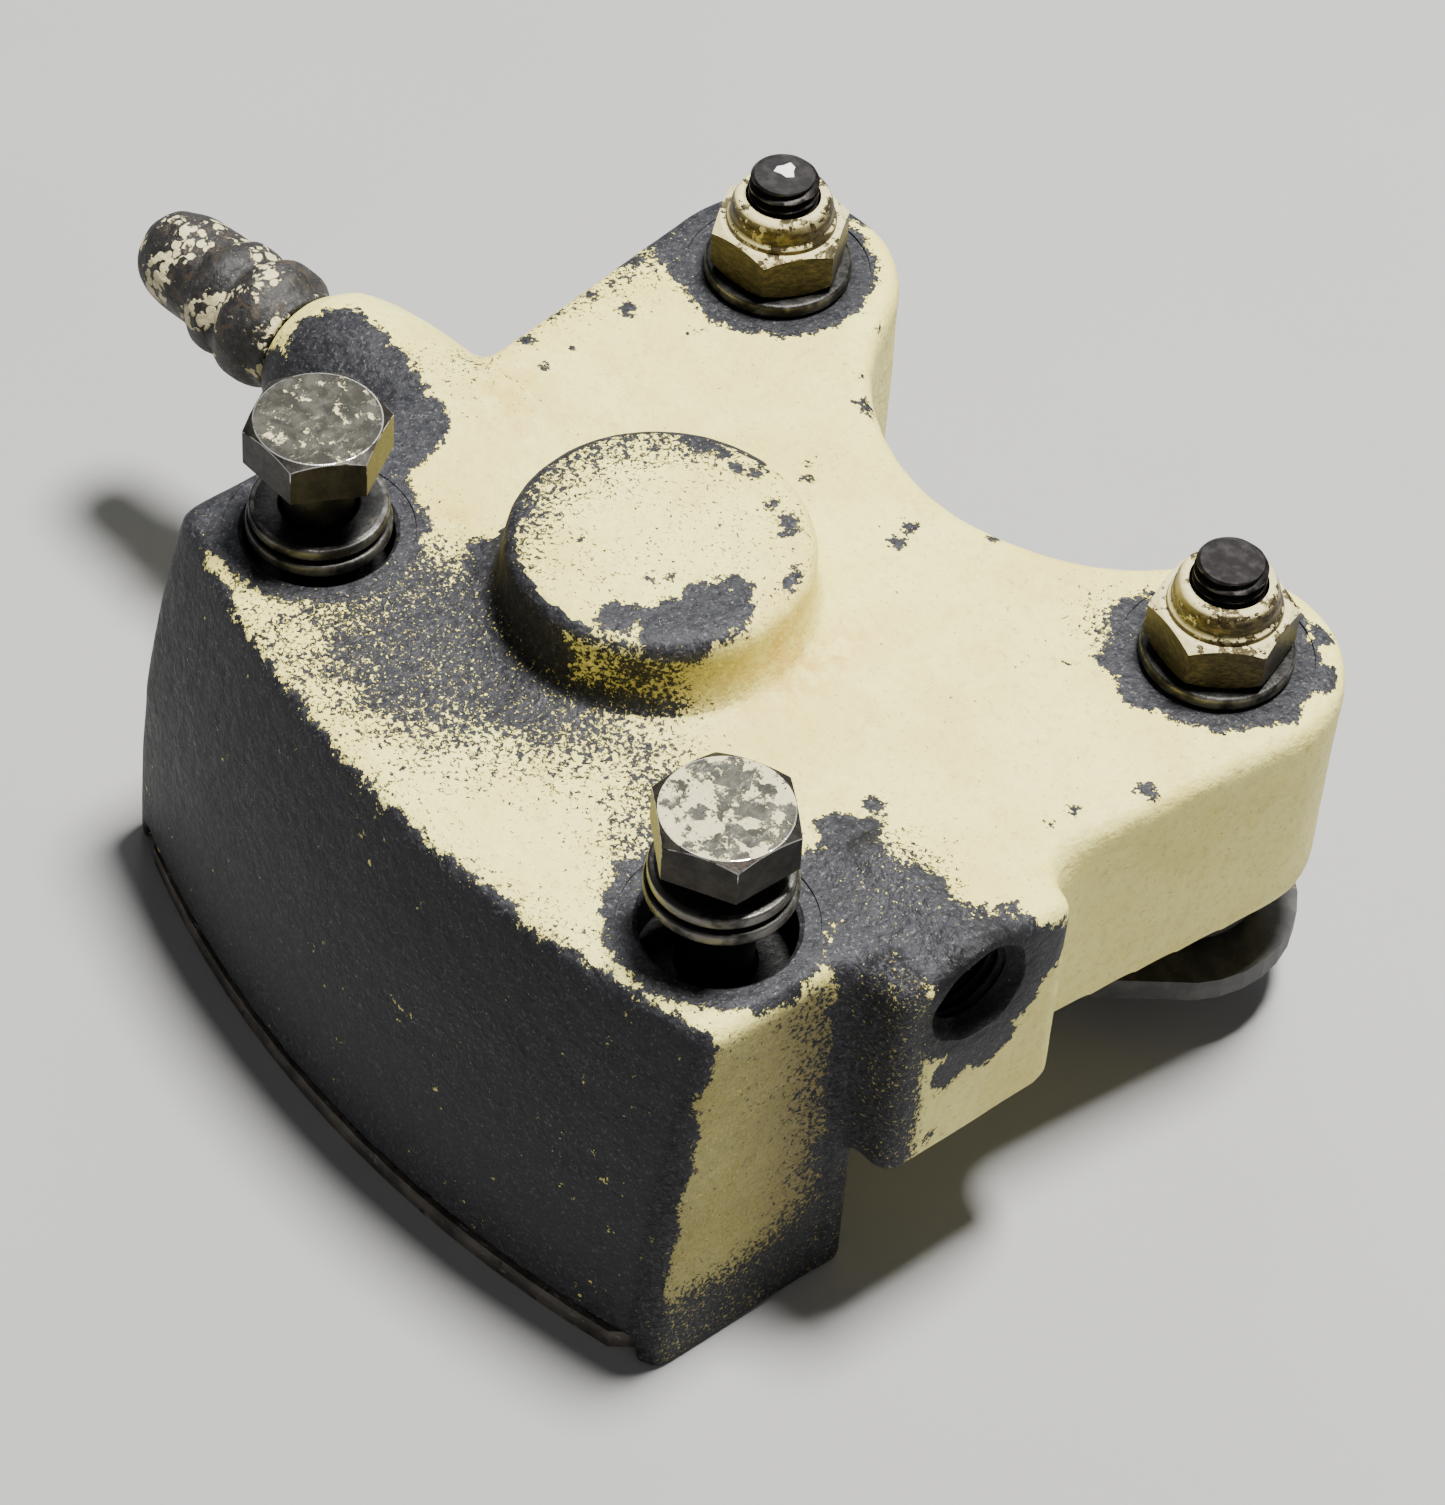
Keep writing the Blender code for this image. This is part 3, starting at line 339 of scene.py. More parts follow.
def washer_finish(name, node, rim_width=0.3):
    """Dark steel with a thin bright rim: rubbed steel and a painted highlight along the edge."""
    f = Finish(name)
    at = middle(node)
    out = f.from_axis(at.x, at.y)
    edge = high(node).x - at.x
    # bright rim round the outer edge: partly rubbed steel, partly a painted highlight
    rim = (out - (edge - rim_width)).between(0, 0.2) * f.grain(3.4, 3, shift=1).between(0.40, 0.60)
    haze = f.grain(1.2, 4, 0.65, shift=9)
    dark = f.mix(haze.between(0.35, 0.7), (0.016, 0.016, 0.015), (0.050, 0.048, 0.044))
    dark = f.mix((f.grain(0.9, 3, 0.7, shift=14) - 0.62).between(0, 0.05) * 0.6, dark, RUST)
    f.colour(f.mix(rim * 0.6, dark, (0.24, 0.23, 0.21)))
    f.rough(0.36 + haze * 0.22 - rim * 0.08)
    f.metal(0.8)
    f.relief(haze * 0.08 + f.grain(0.4, 2) * 0.03)
    return f.material


def nut_finish(name, node):
    """Old yellow plating gone olive brown, with paint on the shoulder and the collar's rim."""
    f = Finish(name)
    at = middle(node)
    z = f.height() - low(node).z
    patch = f.grain(2.6, 4, 0.7, shift=at.x)
    streak = f.grain(1.0, 4, 0.7, stretch=(1, 1, 2.2), shift=5)
    warm = f.mix(streak.between(0.36, 0.68), (0.020, 0.016, 0.008), (0.090, 0.068, 0.026))
    brown = f.mix(streak.between(0.40, 0.70), (0.016, 0.013, 0.010), (0.052, 0.042, 0.026))
    collar = (z - 5.2).between(0, 0.5)
    warm = f.mix(collar, brown, warm)
    side_light = f.facing(-0.8, -0.5, 0.4).between(-0.5, 0.9)
    upward = f.facing(0, 0, 1).between(0.30, 0.62)
    cling = (patch + 0.20 * f.grain(0.8, 2, shift=7) + side_light * 0.14 - 0.60).between(0, 0.05)
    cling = upward * cling
    side = collar * side_light * (f.grain(1.6, 4, 0.7, shift=14) - 0.56).between(0, 0.05)
    paint = cling | side
    f.colour(f.mix(paint, f.mix(upward * 0.5, warm, (0.13, 0.105, 0.050)),
                   f.mix(f.grain(0.6, 2), (0.74, 0.67, 0.34), (0.44, 0.36, 0.16))))
    f.rough(f.blend(paint, 0.34 + patch * 0.2, 0.6))
    f.metal((1 - paint) * 0.8)
    f.relief(paint * 0.14 + f.grain(0.7, 3) * 0.07)
    return f.material


def thread_finish():
    """Black oxide, nearly smooth, with a little shine on the crests."""
    f = Finish("black oxide thread")
    haze = f.grain(1.4, 4, 0.6)
    f.colour(f.mix(haze.between(0.4, 0.7), (0.011, 0.009, 0.009), (0.032, 0.028, 0.027)))
    f.rough(0.30 + haze * 0.22)
    f.metal(0.7)
    f.relief(f.grain(0.5, 3, shift=2) * 0.03)
    return f.material


def paint_dab_finish():
    f = Finish("white paint dab")
    tone = f.grain(0.5, 3)
    f.colour(f.mix(tone, (0.86, 0.85, 0.78), (0.66, 0.64, 0.55)))
    f.rough(0.4 + tone * 0.2)
    f.relief(tone * 0.05)
    return f.material


def cap_finish():
    """Old black rubber with cracked remains of paint."""
    f = Finish("old rubber, cracked paint")
    patches = f.grain(5.6, 3, 0.6, stretch=(1.25, 1.0, 1.0), shift=2.3)
    cracks = f.pits(1.1)
    clinging = (patches + (f.grain(0.7, 3, shift=4) - 0.5) * 0.16 - 0.545).between(0, 0.02)
    upper_side = (f.facing(-0.2, -0.1, 1.0) + 0.35).between(0, 0.3)
    clinging = clinging * (0.62 - cracks).between(-0.05, 0.06) * upper_side
    brown = (f.grain(2.4, 4, 0.7, shift=8) - 0.52).between(0, 0.10)
    rubber = f.mix(f.grain(1.0, 4, 0.7).between(0.4, 0.7), (0.0075, 0.007, 0.007), (0.026, 0.024, 0.023))
    rubber = f.mix(brown * 0.6, rubber, (0.060, 0.040, 0.022))
    rubber = f.mix((f.grain(0.5, 3, shift=18) - 0.64).between(0, 0.05) * 0.5, rubber, (0.30, 0.27, 0.18))
    f.colour(f.mix(clinging, rubber, f.mix(f.grain(0.7), (0.80, 0.73, 0.44), (0.44, 0.37, 0.19))))
    f.rough(f.blend(clinging, 0.48 + f.grain(1.2) * 0.2, 0.65))
    f.relief(clinging * 0.18 + f.grain(0.55, 4, 0.7) * 0.14 + f.grain(2.6, 2) * 0.4)
    return f.material


def rubber_finish():
    f = Finish("black rubber")
    dust = f.grain(1.6, 4, 0.7)
    f.colour(f.mix(dust.between(0.42, 0.75), (0.016, 0.016, 0.017), (0.07, 0.066, 0.06)))
    f.rough(0.5 + dust * 0.25)
    f.relief(f.grain(0.4, 3) * 0.04)
    return f.material


def plate_finish(name, pale, dark):
    """Bare steel plate, scuffed, with bright chips and a brown film."""
    f = Finish(name)
    film = f.grain(6.0, 4, 0.65)
    scuff = f.grain(1.0, 4, 0.7, stretch=(0.35, 1, 1), shift=3)
    base = f.mix(film.between(0.35, 0.68), dark, pale)
    base = f.mix((scuff - 0.60).between(0, 0.05) * 0.8, base, (0.52, 0.50, 0.46))
    base = f.mix((f.grain(2.2, 4, 0.7, shift=11) - 0.60).between(0, 0.07) * 0.7, base, RUST)
    f.colour(base)
    f.rough(0.38 + film * 0.28)
    f.metal(0.75)
    f.relief(scuff * 0.05 + film * 0.05)
    return f.material


def black_paint_finish():
    f = Finish("black painted plate")
    dust = f.grain(3.0, 4, 0.65)
    chip = (f.grain(2.0, 4, 0.7, shift=5) - 0.68).between(0, 0.02)
    base = f.mix(dust.between(0.4, 0.72), (0.020, 0.020, 0.021), (0.062, 0.058, 0.052))
    f.colour(f.mix(chip, base, (0.20, 0.12, 0.07)))
    f.rough(f.blend(chip, 0.42 + dust * 0.2, 0.7))
    f.metal(chip * 0.4)
    f.relief((1 - chip) * 0.05 + f.grain(0.8, 3) * 0.03)
    return f.material


def chrome_finish():
    f = Finish("hard chrome")
    scratch = f.grain(0.8, 3, 0.6, stretch=(1, 1, 0.1))
    f.colour(f.mix(scratch.between(0.5, 0.7), (0.66, 0.66, 0.67), (0.50, 0.50, 0.51)))
    f.rough(0.10 + scratch * 0.12)
    f.metal(1.0)
    f.relief(scratch * 0.004)
    return f.material


def friction_finish():
    f = Finish("friction material")
    crumbs = f.pits(0.8)
    brass = (f.grain(0.5, 2, shift=4) - 0.66).between(0, 0.02)
    base = f.mix(crumbs.between(0.1, 0.7), (0.10, 0.088, 0.078), (0.045, 0.042, 0.040))
    f.colour(f.mix(brass, base, (0.42, 0.30, 0.14)))
    f.rough(0.85 - brass * 0.3)
    f.metal(brass * 0.8)
    f.relief(f.grain(0.5, 3) * 0.12 - crumbs * 0.06)
    return f.material


# ---------------------------------------------------------------- meshes

def skin(rings, loop=False):
    """Mesh through rings of equal length. Its ends are closed unless it loops."""
    count = len(rings[0])
    points = np.concatenate([np.asarray(r, float) for r in rings])
    faces = []
    for k in range(len(rings) if loop else len(rings) - 1):
        here = k * count
        there = (k + 1) % len(rings) * count
        for i in range(count):
            j = (i + 1) % count
            faces.append((here + i, here + j, there + j, there + i))
    if not loop:
        faces.append(tuple(reversed(range(count))))
        faces.append(tuple(range((len(rings) - 1) * count, len(rings) * count)))
    mesh = bpy.data.meshes.new("skin")
    mesh.from_pydata(points.tolist(), [], faces)
    return mesh


def lathe(profile, sides=64, loop=False, swell=None):
    """Mesh turned about Z from (radius, z) points. swell(angle, radius, z) bends its radius."""
    rings = []
    for radius, z in profile:
        ring = []
        for i in range(sides):
            a = 2 * math.pi * i / sides
            r = max(radius, 0.02)
            if swell is not None:
                r += swell(a, r, z)
            ring.append((r * math.cos(a), r * math.sin(a), z))
        rings.append(ring)
    return skin(rings, loop)


def rounded_profile(corners, radius=0.3, steps=3, loop=False):
    """Profile whose corners are rounded off by short arcs."""
    points = []
    count = len(corners)
    for i, corner in enumerate(corners):
        here = Vector(corner)
        if not loop and i in (0, count - 1):
            points.append(tuple(here))
            continue
        back = Vector(corners[i - 1]) - here
        ahead = Vector(corners[(i + 1) % count]) - here
        trim = min(radius, back.length * 0.45, ahead.length * 0.45)
        first = here + back.normalized() * trim
        last = here + ahead.normalized() * trim
        for k in range(steps + 1):
            t = k / steps
            points.append(tuple(first * (1 - t) ** 2 + here * 2 * t * (1 - t) + last * t ** 2))
    return points


def thread_depth(height, angle, pitch, depth):
    """How far the surface of a thread lies below its crest."""
    turn = (height / pitch - angle / (2 * math.pi)) % 1.0
    flank = abs(2 * turn - 1)
    return depth * min(max((flank - 0.14) / 0.70, 0.0), 1.0)


def threaded_rod(radius, pitch, z_low, z_high, sides=40, chamfer=1.0, plain_below=None, depth=0.66):
    """Solid rod with a helical thread. Below plain_below it is a plain shank."""
    step = pitch / 9
    rows = max(2, int(round((z_high - z_low) / step)))
    rings = []
    for k in range(rows + 1):
        z = z_low + (z_high - z_low) * k / rows
        ends = min(z - z_low, z_high - z)
        cap = radius - max(0.0, chamfer - ends)
        ring = []
        for i in range(sides):
            a = 2 * math.pi * i / sides
            r = radius
            if plain_below is None or z > plain_below:
                r -= thread_depth(z, a, pitch, depth * pitch * 0.9)
            r = min(r, cap)
            ring.append((r * math.cos(a), r * math.sin(a), z))
        rings.append(ring)
    return skin(rings)


def moved(mesh, x, y):
    mesh.transform(Matrix.Translation((x, y, 0)))
    return mesh


def hex_prism(z_low, z_high, turn):
    """Hexagon with one corner turned by so many degrees from the X axis."""
    corners = [math.radians(turn + 60 * i) for i in range(6)]
    return skin([[(HEX_R * math.cos(a), HEX_R * math.sin(a), z) for a in corners] for z in (z_low, z_high)])


def fused(mesh, other, operation, solver="EXACT"):
    """One mesh united with, cut by or limited to another."""
    target = bpy.data.objects.new("target", mesh)
    tool = bpy.data.objects.new("tool", other)
    for obj in (target, tool):
        bpy.context.scene.collection.objects.link(obj)
    modifier = target.modifiers.new("fuse", "BOOLEAN")
    modifier.object = tool
    modifier.operation = operation
    modifier.solver = solver
    result = baked(target)
    for obj in (target, tool):
        bpy.data.objects.remove(obj)
    return result


def baked(obj):
    """The mesh of an object as its modifiers leave it."""
    graph = bpy.context.evaluated_depsgraph_get()
    graph.update()
    return bpy.data.meshes.new_from_object(obj.evaluated_get(graph))


def piece(name, mesh, finishes, body, nodes, sharp=35.0):
    """A mesh in millimetres becomes a piece that rides on a body and stands for CAD nodes."""
    mesh.transform(Matrix.Scale(MM, 4))
    mesh.materials.clear()
    for finish in finishes:
        mesh.materials.append(finish)
    mesh.shade_smooth()
    mesh.set_sharp_from_angle(angle=math.radians(sharp))
    obj = bpy.data.objects.new(name, mesh)
    bpy.context.scene.collection.objects.link(obj)
    if body is not None:
        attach(obj, body)
    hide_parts(*nodes)
    return obj


def eased(obj, width, angle, slot=-1):
    """Break edges sharper than an angle in degrees, optionally with another finish on them."""
    bevel = obj.modifiers.new("eased edges", "BEVEL")
    bevel.width = width * MM
    bevel.segments = 2
    bevel.limit_method = "ANGLE"
    bevel.angle_limit = math.radians(angle)
    bevel.material = slot


# ---------------------------------------------------------------- casting

def coordinates(mesh):
    flat = np.empty(len(mesh.vertices) * 3)
    mesh.vertices.foreach_get("co", flat)
    return flat.reshape(-1, 3)


def set_coordinates(mesh, points):
    mesh.vertices.foreach_set("co", points.ravel())
    mesh.update()


def normals(mesh):
    flat = np.empty(len(mesh.vertices) * 3)
    mesh.vertex_normals.foreach_get("vector", flat)
    return flat.reshape(-1, 3)


def soft(value, start, end):
    share = np.clip((value - start) / (end - start), 0, 1)
    return share * share * (3 - 2 * share)


def neighbours(mesh):
    pairs = np.empty(len(mesh.edges) * 2, int)
    mesh.edges.foreach_get("vertices", pairs)
    first, second = pairs.reshape(-1, 2).T
    ends = np.concatenate([first, second])
    others = np.concatenate([second, first])
    return ends, others, np.bincount(ends, minlength=len(mesh.vertices))


def neighbour_mean(points, links):
    ends, others, count = links
    total = [np.bincount(ends, weights=points[others, axis], minlength=len(points)) for axis in range(3)]
    return np.stack(total, 1) / count[:, None]


def fill_hollows(mesh, steps, weight):
    """Build inside corners up into fillets. Nothing moves inwards."""
    links = neighbours(mesh)
    points = coordinates(mesh)
    for step in range(steps):
        if step % 4 == 0:
            set_coordinates(mesh, points)
            out = normals(mesh)
        lift = ((neighbour_mean(points, links) - points) * out).sum(1).clip(min=0)
        points += out * (lift * weight * 0.9)[:, None]
    set_coordinates(mesh, points)


def ease_surface(mesh, steps):
    """Smooth a mesh by moving each point halfway to its neighbours."""
    links = neighbours(mesh)
    points = coordinates(mesh)
    for _ in range(steps):
        points += (neighbour_mean(points, links) - points) * 0.5
    set_coordinates(mesh, points)


def waves(points, size, shift):
    """Smooth noise, from about -1 to 1, at each point."""
    return np.array([noise.noise(Vector(p) / size + Vector((shift, 0, 0))) for p in points])


def bleed_placed(mesh):
    """Stand a mesh made along +Z on the bleed boss's face, pointing out of it."""
    along = Matrix.Rotation(math.pi + BLEED_TILT, 4, "Z") @ Matrix.Rotation(math.pi / 2, 4, "Y")
    mesh.transform(along)
    mesh.transform(Matrix.Translation(BLEED_FACE))
    return mesh


def port_placed(mesh):
    """Lay a mesh made along +Z into the port, pointing inwards from its mouth."""
    mesh.transform(Matrix.Rotation(-math.pi / 2, 4, "Y"))
    mesh.transform(Matrix.Translation(PORT))
    return mesh


def rod(radius, z_low, z_high, sides=64):
    return lathe([(radius, z_low), (radius, z_high)], sides)


def casting_plugs():
    """Fill the machined holes, so that the cast skin can be eased without them."""
    plugs = []
    for bolt in BOLTS.values():
        plugs.append(moved(rod(BOLT_HOLE_R + 0.3, 6.0, TOP_Z - 1), bolt.x, bolt.y))
        plugs.append(moved(rod(BOLT_SPOT_R + 0.3, TOP_Z - COUNTERBORE_D - 1, TOP_Z), bolt.x, bolt.y))
    for stud in STUDS.values():
        plugs.append(moved(rod(BOOT_POCKET_R + 0.3, SLAB_BOTTOM_Z, BOOT_POCKET_TOP_Z + 1), stud.x, stud.y))
        plugs.append(moved(rod(STUD_SPOT_R + 0.3, TOP_Z - 2, TOP_Z), stud.x, stud.y))
        plugs.append(moved(rod(M8_R + 0.6, BOOT_POCKET_TOP_Z, TOP_Z - 1), stud.x, stud.y))
    plugs.append(port_placed(rod(PORT_R + 2.3, 0, PORT_DEPTH)))
    plugs.append(bleed_placed(rod(BLEED_HOLE_R + 0.3, -BLEED_HOLE_L, 0)))
    return plugs


def spot_profile(hole_r, floor_z, wide_r, spot_r):
    rim = TOP_Z - SPOT_D
    return [(hole_r, -1), (hole_r, floor_z), (wide_r, floor_z), (wide_r, rim - 0.5), (wide_r + 0.5, rim),
            (spot_r, rim), (spot_r + 0.2, TOP_Z + 2)]


def casting_cutters():
    """The machined holes and seats, cut after the cast skin is eased."""
    cutters = []
    for bolt in BOLTS.values():
        profile = spot_profile(BOLT_HOLE_R, TOP_Z - COUNTERBORE_D, COUNTERBORE_R, BOLT_SPOT_R - 0.2)
        cutters.append(moved(lathe(profile, 96), bolt.x, bolt.y))
    for stud in STUDS.values():
        rim = TOP_Z - SPOT_D
        profile = [(BOOT_POCKET_R, SLAB_BOTTOM_Z - 2), (BOOT_POCKET_R, BOOT_POCKET_TOP_Z),
                   (M8_R + GAP, BOOT_POCKET_TOP_Z), (M8_R + GAP, rim), (STUD_SPOT_R - 0.2, rim),
                   (STUD_SPOT_R, TOP_Z + 2)]
        cutters.append(moved(lathe(profile, 96), stud.x, stud.y))
    cutters.append(moved(rod(BORE_R, SLAB_BOTTOM_Z - 2, BORE_TOP_Z, 96), BORE.x, BORE.y))
    cutters.append(port_placed(threaded_rod(PORT_R + 0.25, M8_PITCH, -3.0, PORT_DEPTH, 48, 0.3, depth=0.55)))
    mouth = [(PORT_R + 3.4, -2.0), (PORT_R + 1.35, 0.0), (PORT_R + 0.5, 1.4), (PORT_R - 0.6, 2.6)]

    def ragged(angle, radius, z):
        return 0.16 * math.sin(3 * angle) + 0.1 * math.sin(8 * angle)

    cutters.append(port_placed(lathe(mouth, 64, swell=ragged)))
    cutters.append(bleed_placed(rod(BLEED_HOLE_R, -BLEED_HOLE_L, 2, 48)))
    return cutters


def welded(mesh, distance=0.002):
    """The mesh with corners that share a place made one."""
    bm = bmesh.new()
    bm.from_mesh(mesh)
    bmesh.ops.remove_doubles(bm, verts=bm.verts, dist=distance)
    bm.to_mesh(mesh)
    bm.free()
    return mesh


def casting_mesh():
    """The casting with filleted inside corners, a slightly wavy skin and clean machined holes."""
    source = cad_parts["caliper_body"].data.copy()
    source.transform(Matrix.Scale(1 / MM, 4))
    source.materials.clear()
    welded(source)
    for plug in casting_plugs():
        source = fused(source, plug, "UNION", "MANIFOLD")
    holder = bpy.data.objects.new("holder", source)
    bpy.context.scene.collection.objects.link(holder)
    remesh = holder.modifiers.new("even skin", "REMESH")
    remesh.mode = "VOXEL"
    remesh.voxel_size = SKIN_CELL
    mesh = baked(holder)
    bpy.data.objects.remove(holder)
    x, y, z = coordinates(mesh).T
    weight = soft(z, 23.0, 26.0)
    valley = soft(x, 45.0, 46.2) * soft(y, 0.0, 3.0) * soft(-y, -16.0, -12.0) * soft(z, 3.0, 8.0)
    weight = np.maximum(weight, valley)
    fill_hollows(mesh, FILL_STEPS, weight)
    ease_surface(mesh, EASE_STEPS)
    points = coordinates(mesh)
    outward = normals(mesh)
    skin_share = soft(points[:, 2], 20.0, 24.0)
    swell = waves(points, 11.0, 3.0) * 0.16 + waves(points, 3.4, 9.0) * 0.05
    points += outward * (swell * (0.25 + 0.75 * skin_share) - 0.10)[:, None]
    set_coordinates(mesh, points)
    for cutter in casting_cutters():
        mesh = fused(mesh, cutter, "DIFFERENCE", "MANIFOLD")
    return mesh


def ball(points, x, y, z, radius):
    """How far each point lies inside a ball."""
    return radius - np.linalg.norm(points - (x, y, z), axis=1)


def bar(points, start, end, radius):
    """How far each point lies inside a round-ended bar."""
    start = np.array(start, float)
    along = np.array(end, float) - start
    share = np.clip(((points - start) @ along) / (along @ along), 0, 1)
    return radius - np.linalg.norm(points - start - share[:, None] * along, axis=1)


# Chips in the paint of the top face, as x, y and radius
TOP_CHIPS = [
    (-41.6, 47.8, 1.5), (-14.0, 60.0, 1.5), (-12.6, 59.6, 1.1), (-17.8, 62.4, 0.8), (-22.8, 70.0, 1.0),
    (-48.6, 53.2, 2.0), (-48.0, 57.0, 1.2), (-46.2, 46.0, 0.9), (-46.0, 41.5, 1.2), (-44.2, 36.2, 1.7),
    (-46.8, 37.5, 1.2), (3.4, 51.6, 1.3), (4.0, 49.2, 1.4), (6.2, 51.4, 0.5), (-10.6, 48.6, 1.2),
    (-9.0, 47.6, 1.4), (26.2, 47.6, 0.5), (47.0, 46.8, 1.3), (44.8, 35.8, 0.8), (44.4, 38.8, 0.4),
    (-34.4, 51.6, 0.5), (-40.0, 39.0, 0.5), (9.4, 57.9, 0.9), (22.2, 69.0, 0.7), (24.6, 66.6, 0.8),
    (-39.6, 34.6, 0.6), (-52.2, 29.4, 1.4), (-56.4, 28.6, 1.2), (28.4, 52.2, 0.7), (26.4, 60.0, 1.0),
]
# Chips in the rim and top of the cylinder boss
BOSS_CHIPS = [
    (7.4, 20.6, 4.4), (6.4, 15.0, 3.9), (2.6, 11.8, 2.6), (6.6, 24.2, 1.9), (9.4, 16.4, 2.8),
    (-13.4, 34.4, 1.9), (-11.6, 35.2, 1.2), (-9.6, 35.6, 1.2), (-7.4, 35.2, 1.0), (-5.4, 36.4, 1.3),
    (-8.6, 38.0, 0.8), (1.9, 34.6, 1.6), (3.2, 33.2, 1.0), (-0.8, 34.8, 0.8), (9.2, 29.4, 1.2),
    (8.3, 31.0, 0.9), (-19.4, 30.0, 1.2), (-16.9, 33.2, 0.9), (-20.4, 26.0, 1.2), (-19.6, 18.0, 1.2),
    (-15.6, 13.4, 1.5), (-0.2, 17.8, 0.7), (1.2, 19.6, 0.9), (-9.0, 15.6, 0.5), (-4.6, 38.8, 0.8),
]
# Patches round the machined seats, as x, y, z and radius
PATCHES = [
    (-47.6, 60.6, 50.0, 4.6), (-42.0, 57.6, 50.0, 2.4), (-50.6, 65.4, 49.0, 3.6), (-47.4, 75.6, 49.0, 3.4),
    (-39.5, 79.6, 49.0, 2.6), (-49.4, 70.0, 48.0, 3.0), (31.6, 58.0, 50.0, 3.4), (36.4, 55.8, 50.0, 2.6),
    (27.4, 62.6, 50.0, 2.8), (45.2, 71.8, 50.0, 2.6), (47.2, 66.6, 49.0, 1.6), (41.4, 76.6, 49.4, 1.4),
    (-45.6, 2.0, 49.0, 7.0), (-45.0, -6.0, 49.0, 6.5), (-40.0, 9.5, 49.0, 5.0), (-43.0, -9.5, 49.5, 4.6),
    (38.0, 13.0, 50.0, 5.6), (44.0, 17.0, 49.5, 4.6), (49.0, 16.0, 48.0, 6.0), (33.5, 17.6, 50.0, 3.4),
    (31.6, 22.6, 50.0, 1.2), (46.0, 10.0, 48.0, 5.0), (27.6, 7.6, 50.0, 2.6), (24.6, -3.2, 50.0, 2.2),
    (54.0, 19.5, 43.5, 9.0), (54.0, 27.0, 44.5, 4.4), (53.5, 12.5, 44.0, 4.0), (54.0, 21.0, 34.5, 3.4),
    (54.0, 15.8, 33.6, 2.6), (54.0, 10.6, 31.6, 1.5), (54.0, 13.6, 24.0, 0.6), (52.0, 32.2, 40.4, 1.5),
]

# Larger bare patches: start, end and radius of a round-ended bar
BARE_BARS = [
    ((-57, 18.5, 46.5), (-42, 15.0, 50.0), 6.4), ((-61, 13.0, 40.0), (-46, 11.0, 44.0), 6.5),
    ((48.6, 7.8, TOP_Z - 3), (49.8, 7.2, 4), 3.4),
]
# Flecked places of the top face and stained ones: x, y, width, depth and strength
TOP_WEAR = [
    (-10, 3.5, 19, 8, 0.95), (-14, -8.5, 17, 6.5, 0.50), (25, 1, 8, 10, 0.48), (41, 16, 8, 7, 0.62),
    (28, 60, 6, 5.5, 0.42), (-47, 46, 5, 14, 0.28), (-45, 27, 9, 5, 0.22), (14, 9, 8, 6, 0.22),
    (-47, 60, 9, 9, 0.24),
]
STAINS = [(13, 30, 3.5, 9, 0.8), (-38, 29, 8, 5, 0.7), (-27, 13, 3, 3, 0.7), (20, 20, 12, 14, 0.25)]
BOLT_BARE_R = 11.7
STUD_BARE_R = STUD_SPOT_R + 0.4


def wall_radius(z):
    """Radius of the outer wall about the disc's axis, which grows towards its foot."""
    share = np.clip(z / (TOP_Z - 2), 0, 1)
    return OUTER_R + OUTER_SPREAD * (1 - share ** 2)


OUTSIDE, INSIDE = -9.0, 6.0                 # mm, as far as a bare patch's depth is followed
WALL_EDGE = 1.3                             # how far the bare wall reaches over its top edge
MOST_WORN = 0.82                            # paint flecks are left even in the most worn places


class Skin:
    """The casting's points, and the places on it that its wear depends on."""

    def __init__(self, points, out):
        self.points = points
        self.out = out
        self.x, self.y, self.z = points.T
        x, y, z = points.T
        self.from_disc = np.hypot(x, y - DISC_CENTRE_Y)
        self.wall = self.from_disc - wall_radius(z) + WALL_EDGE
        self.near_top = soft(z, TOP_Z - 5, TOP_Z - 2) * soft(-z, -TOP_Z - 3.5, -TOP_Z - 2)
        self.end_face = soft(x, 43.5, 45.5) * soft(-y, -8.0, -4.0) * soft(TOP_Z - z, 0.5, 3)
        self.port_side = soft(x, 46, 48) * soft(y, 5.5, 8) * soft(-y, -13.5, -10) * 0.7
        self.from_bore = self.from_axis(BORE)
        self.turn = np.degrees(np.arctan2(y - BORE.y, x - BORE.x)) % 360
        steep = soft(-out[:, 2], -0.93, -0.75)
        self.boss_side = (z > TOP_Z + 0.3) * soft(self.from_bore, BOSS_R - 2.4, BOSS_R - 1.0) * steep

    def from_axis(self, at):
        return np.hypot(self.x - at.x, self.y - at.y)

    def bump(self, x, y, wide, deep, height):
        """A soft hill over a place, the same at every height."""
        return height * np.exp(-((self.x - x) / wide) ** 2 - ((self.y - y) / deep) ** 2)


def painted_hole_shade(skin):
    """How dark the painted shade is inside the holes and round the port's mouth."""
    dark = np.zeros(len(skin.points))
    for bolt in BOLTS.values():
        inside = skin.from_axis(bolt) < COUNTERBORE_R + 0.15
        dark = np.maximum(dark, inside * soft(-skin.z, -TOP_Z + 0.4, -TOP_Z + 1.6))
    for stud in STUDS.values():
        dark = np.maximum(dark, skin.from_axis(stud) < M8_R + 1)
    mouth = np.hypot(skin.y - PORT.y, skin.z - PORT.z)
    bore = (skin.x > 34) * soft(-mouth, -PORT_R - 2.2, -PORT_R - 1.0) * soft(-skin.x, -54.2, -53.2)
    ring = (skin.x > 52) * soft(-mouth, -PORT_R - 4.2, -PORT_R - 1.8) * 0.8
    return np.maximum(dark, np.maximum(bore, ring))


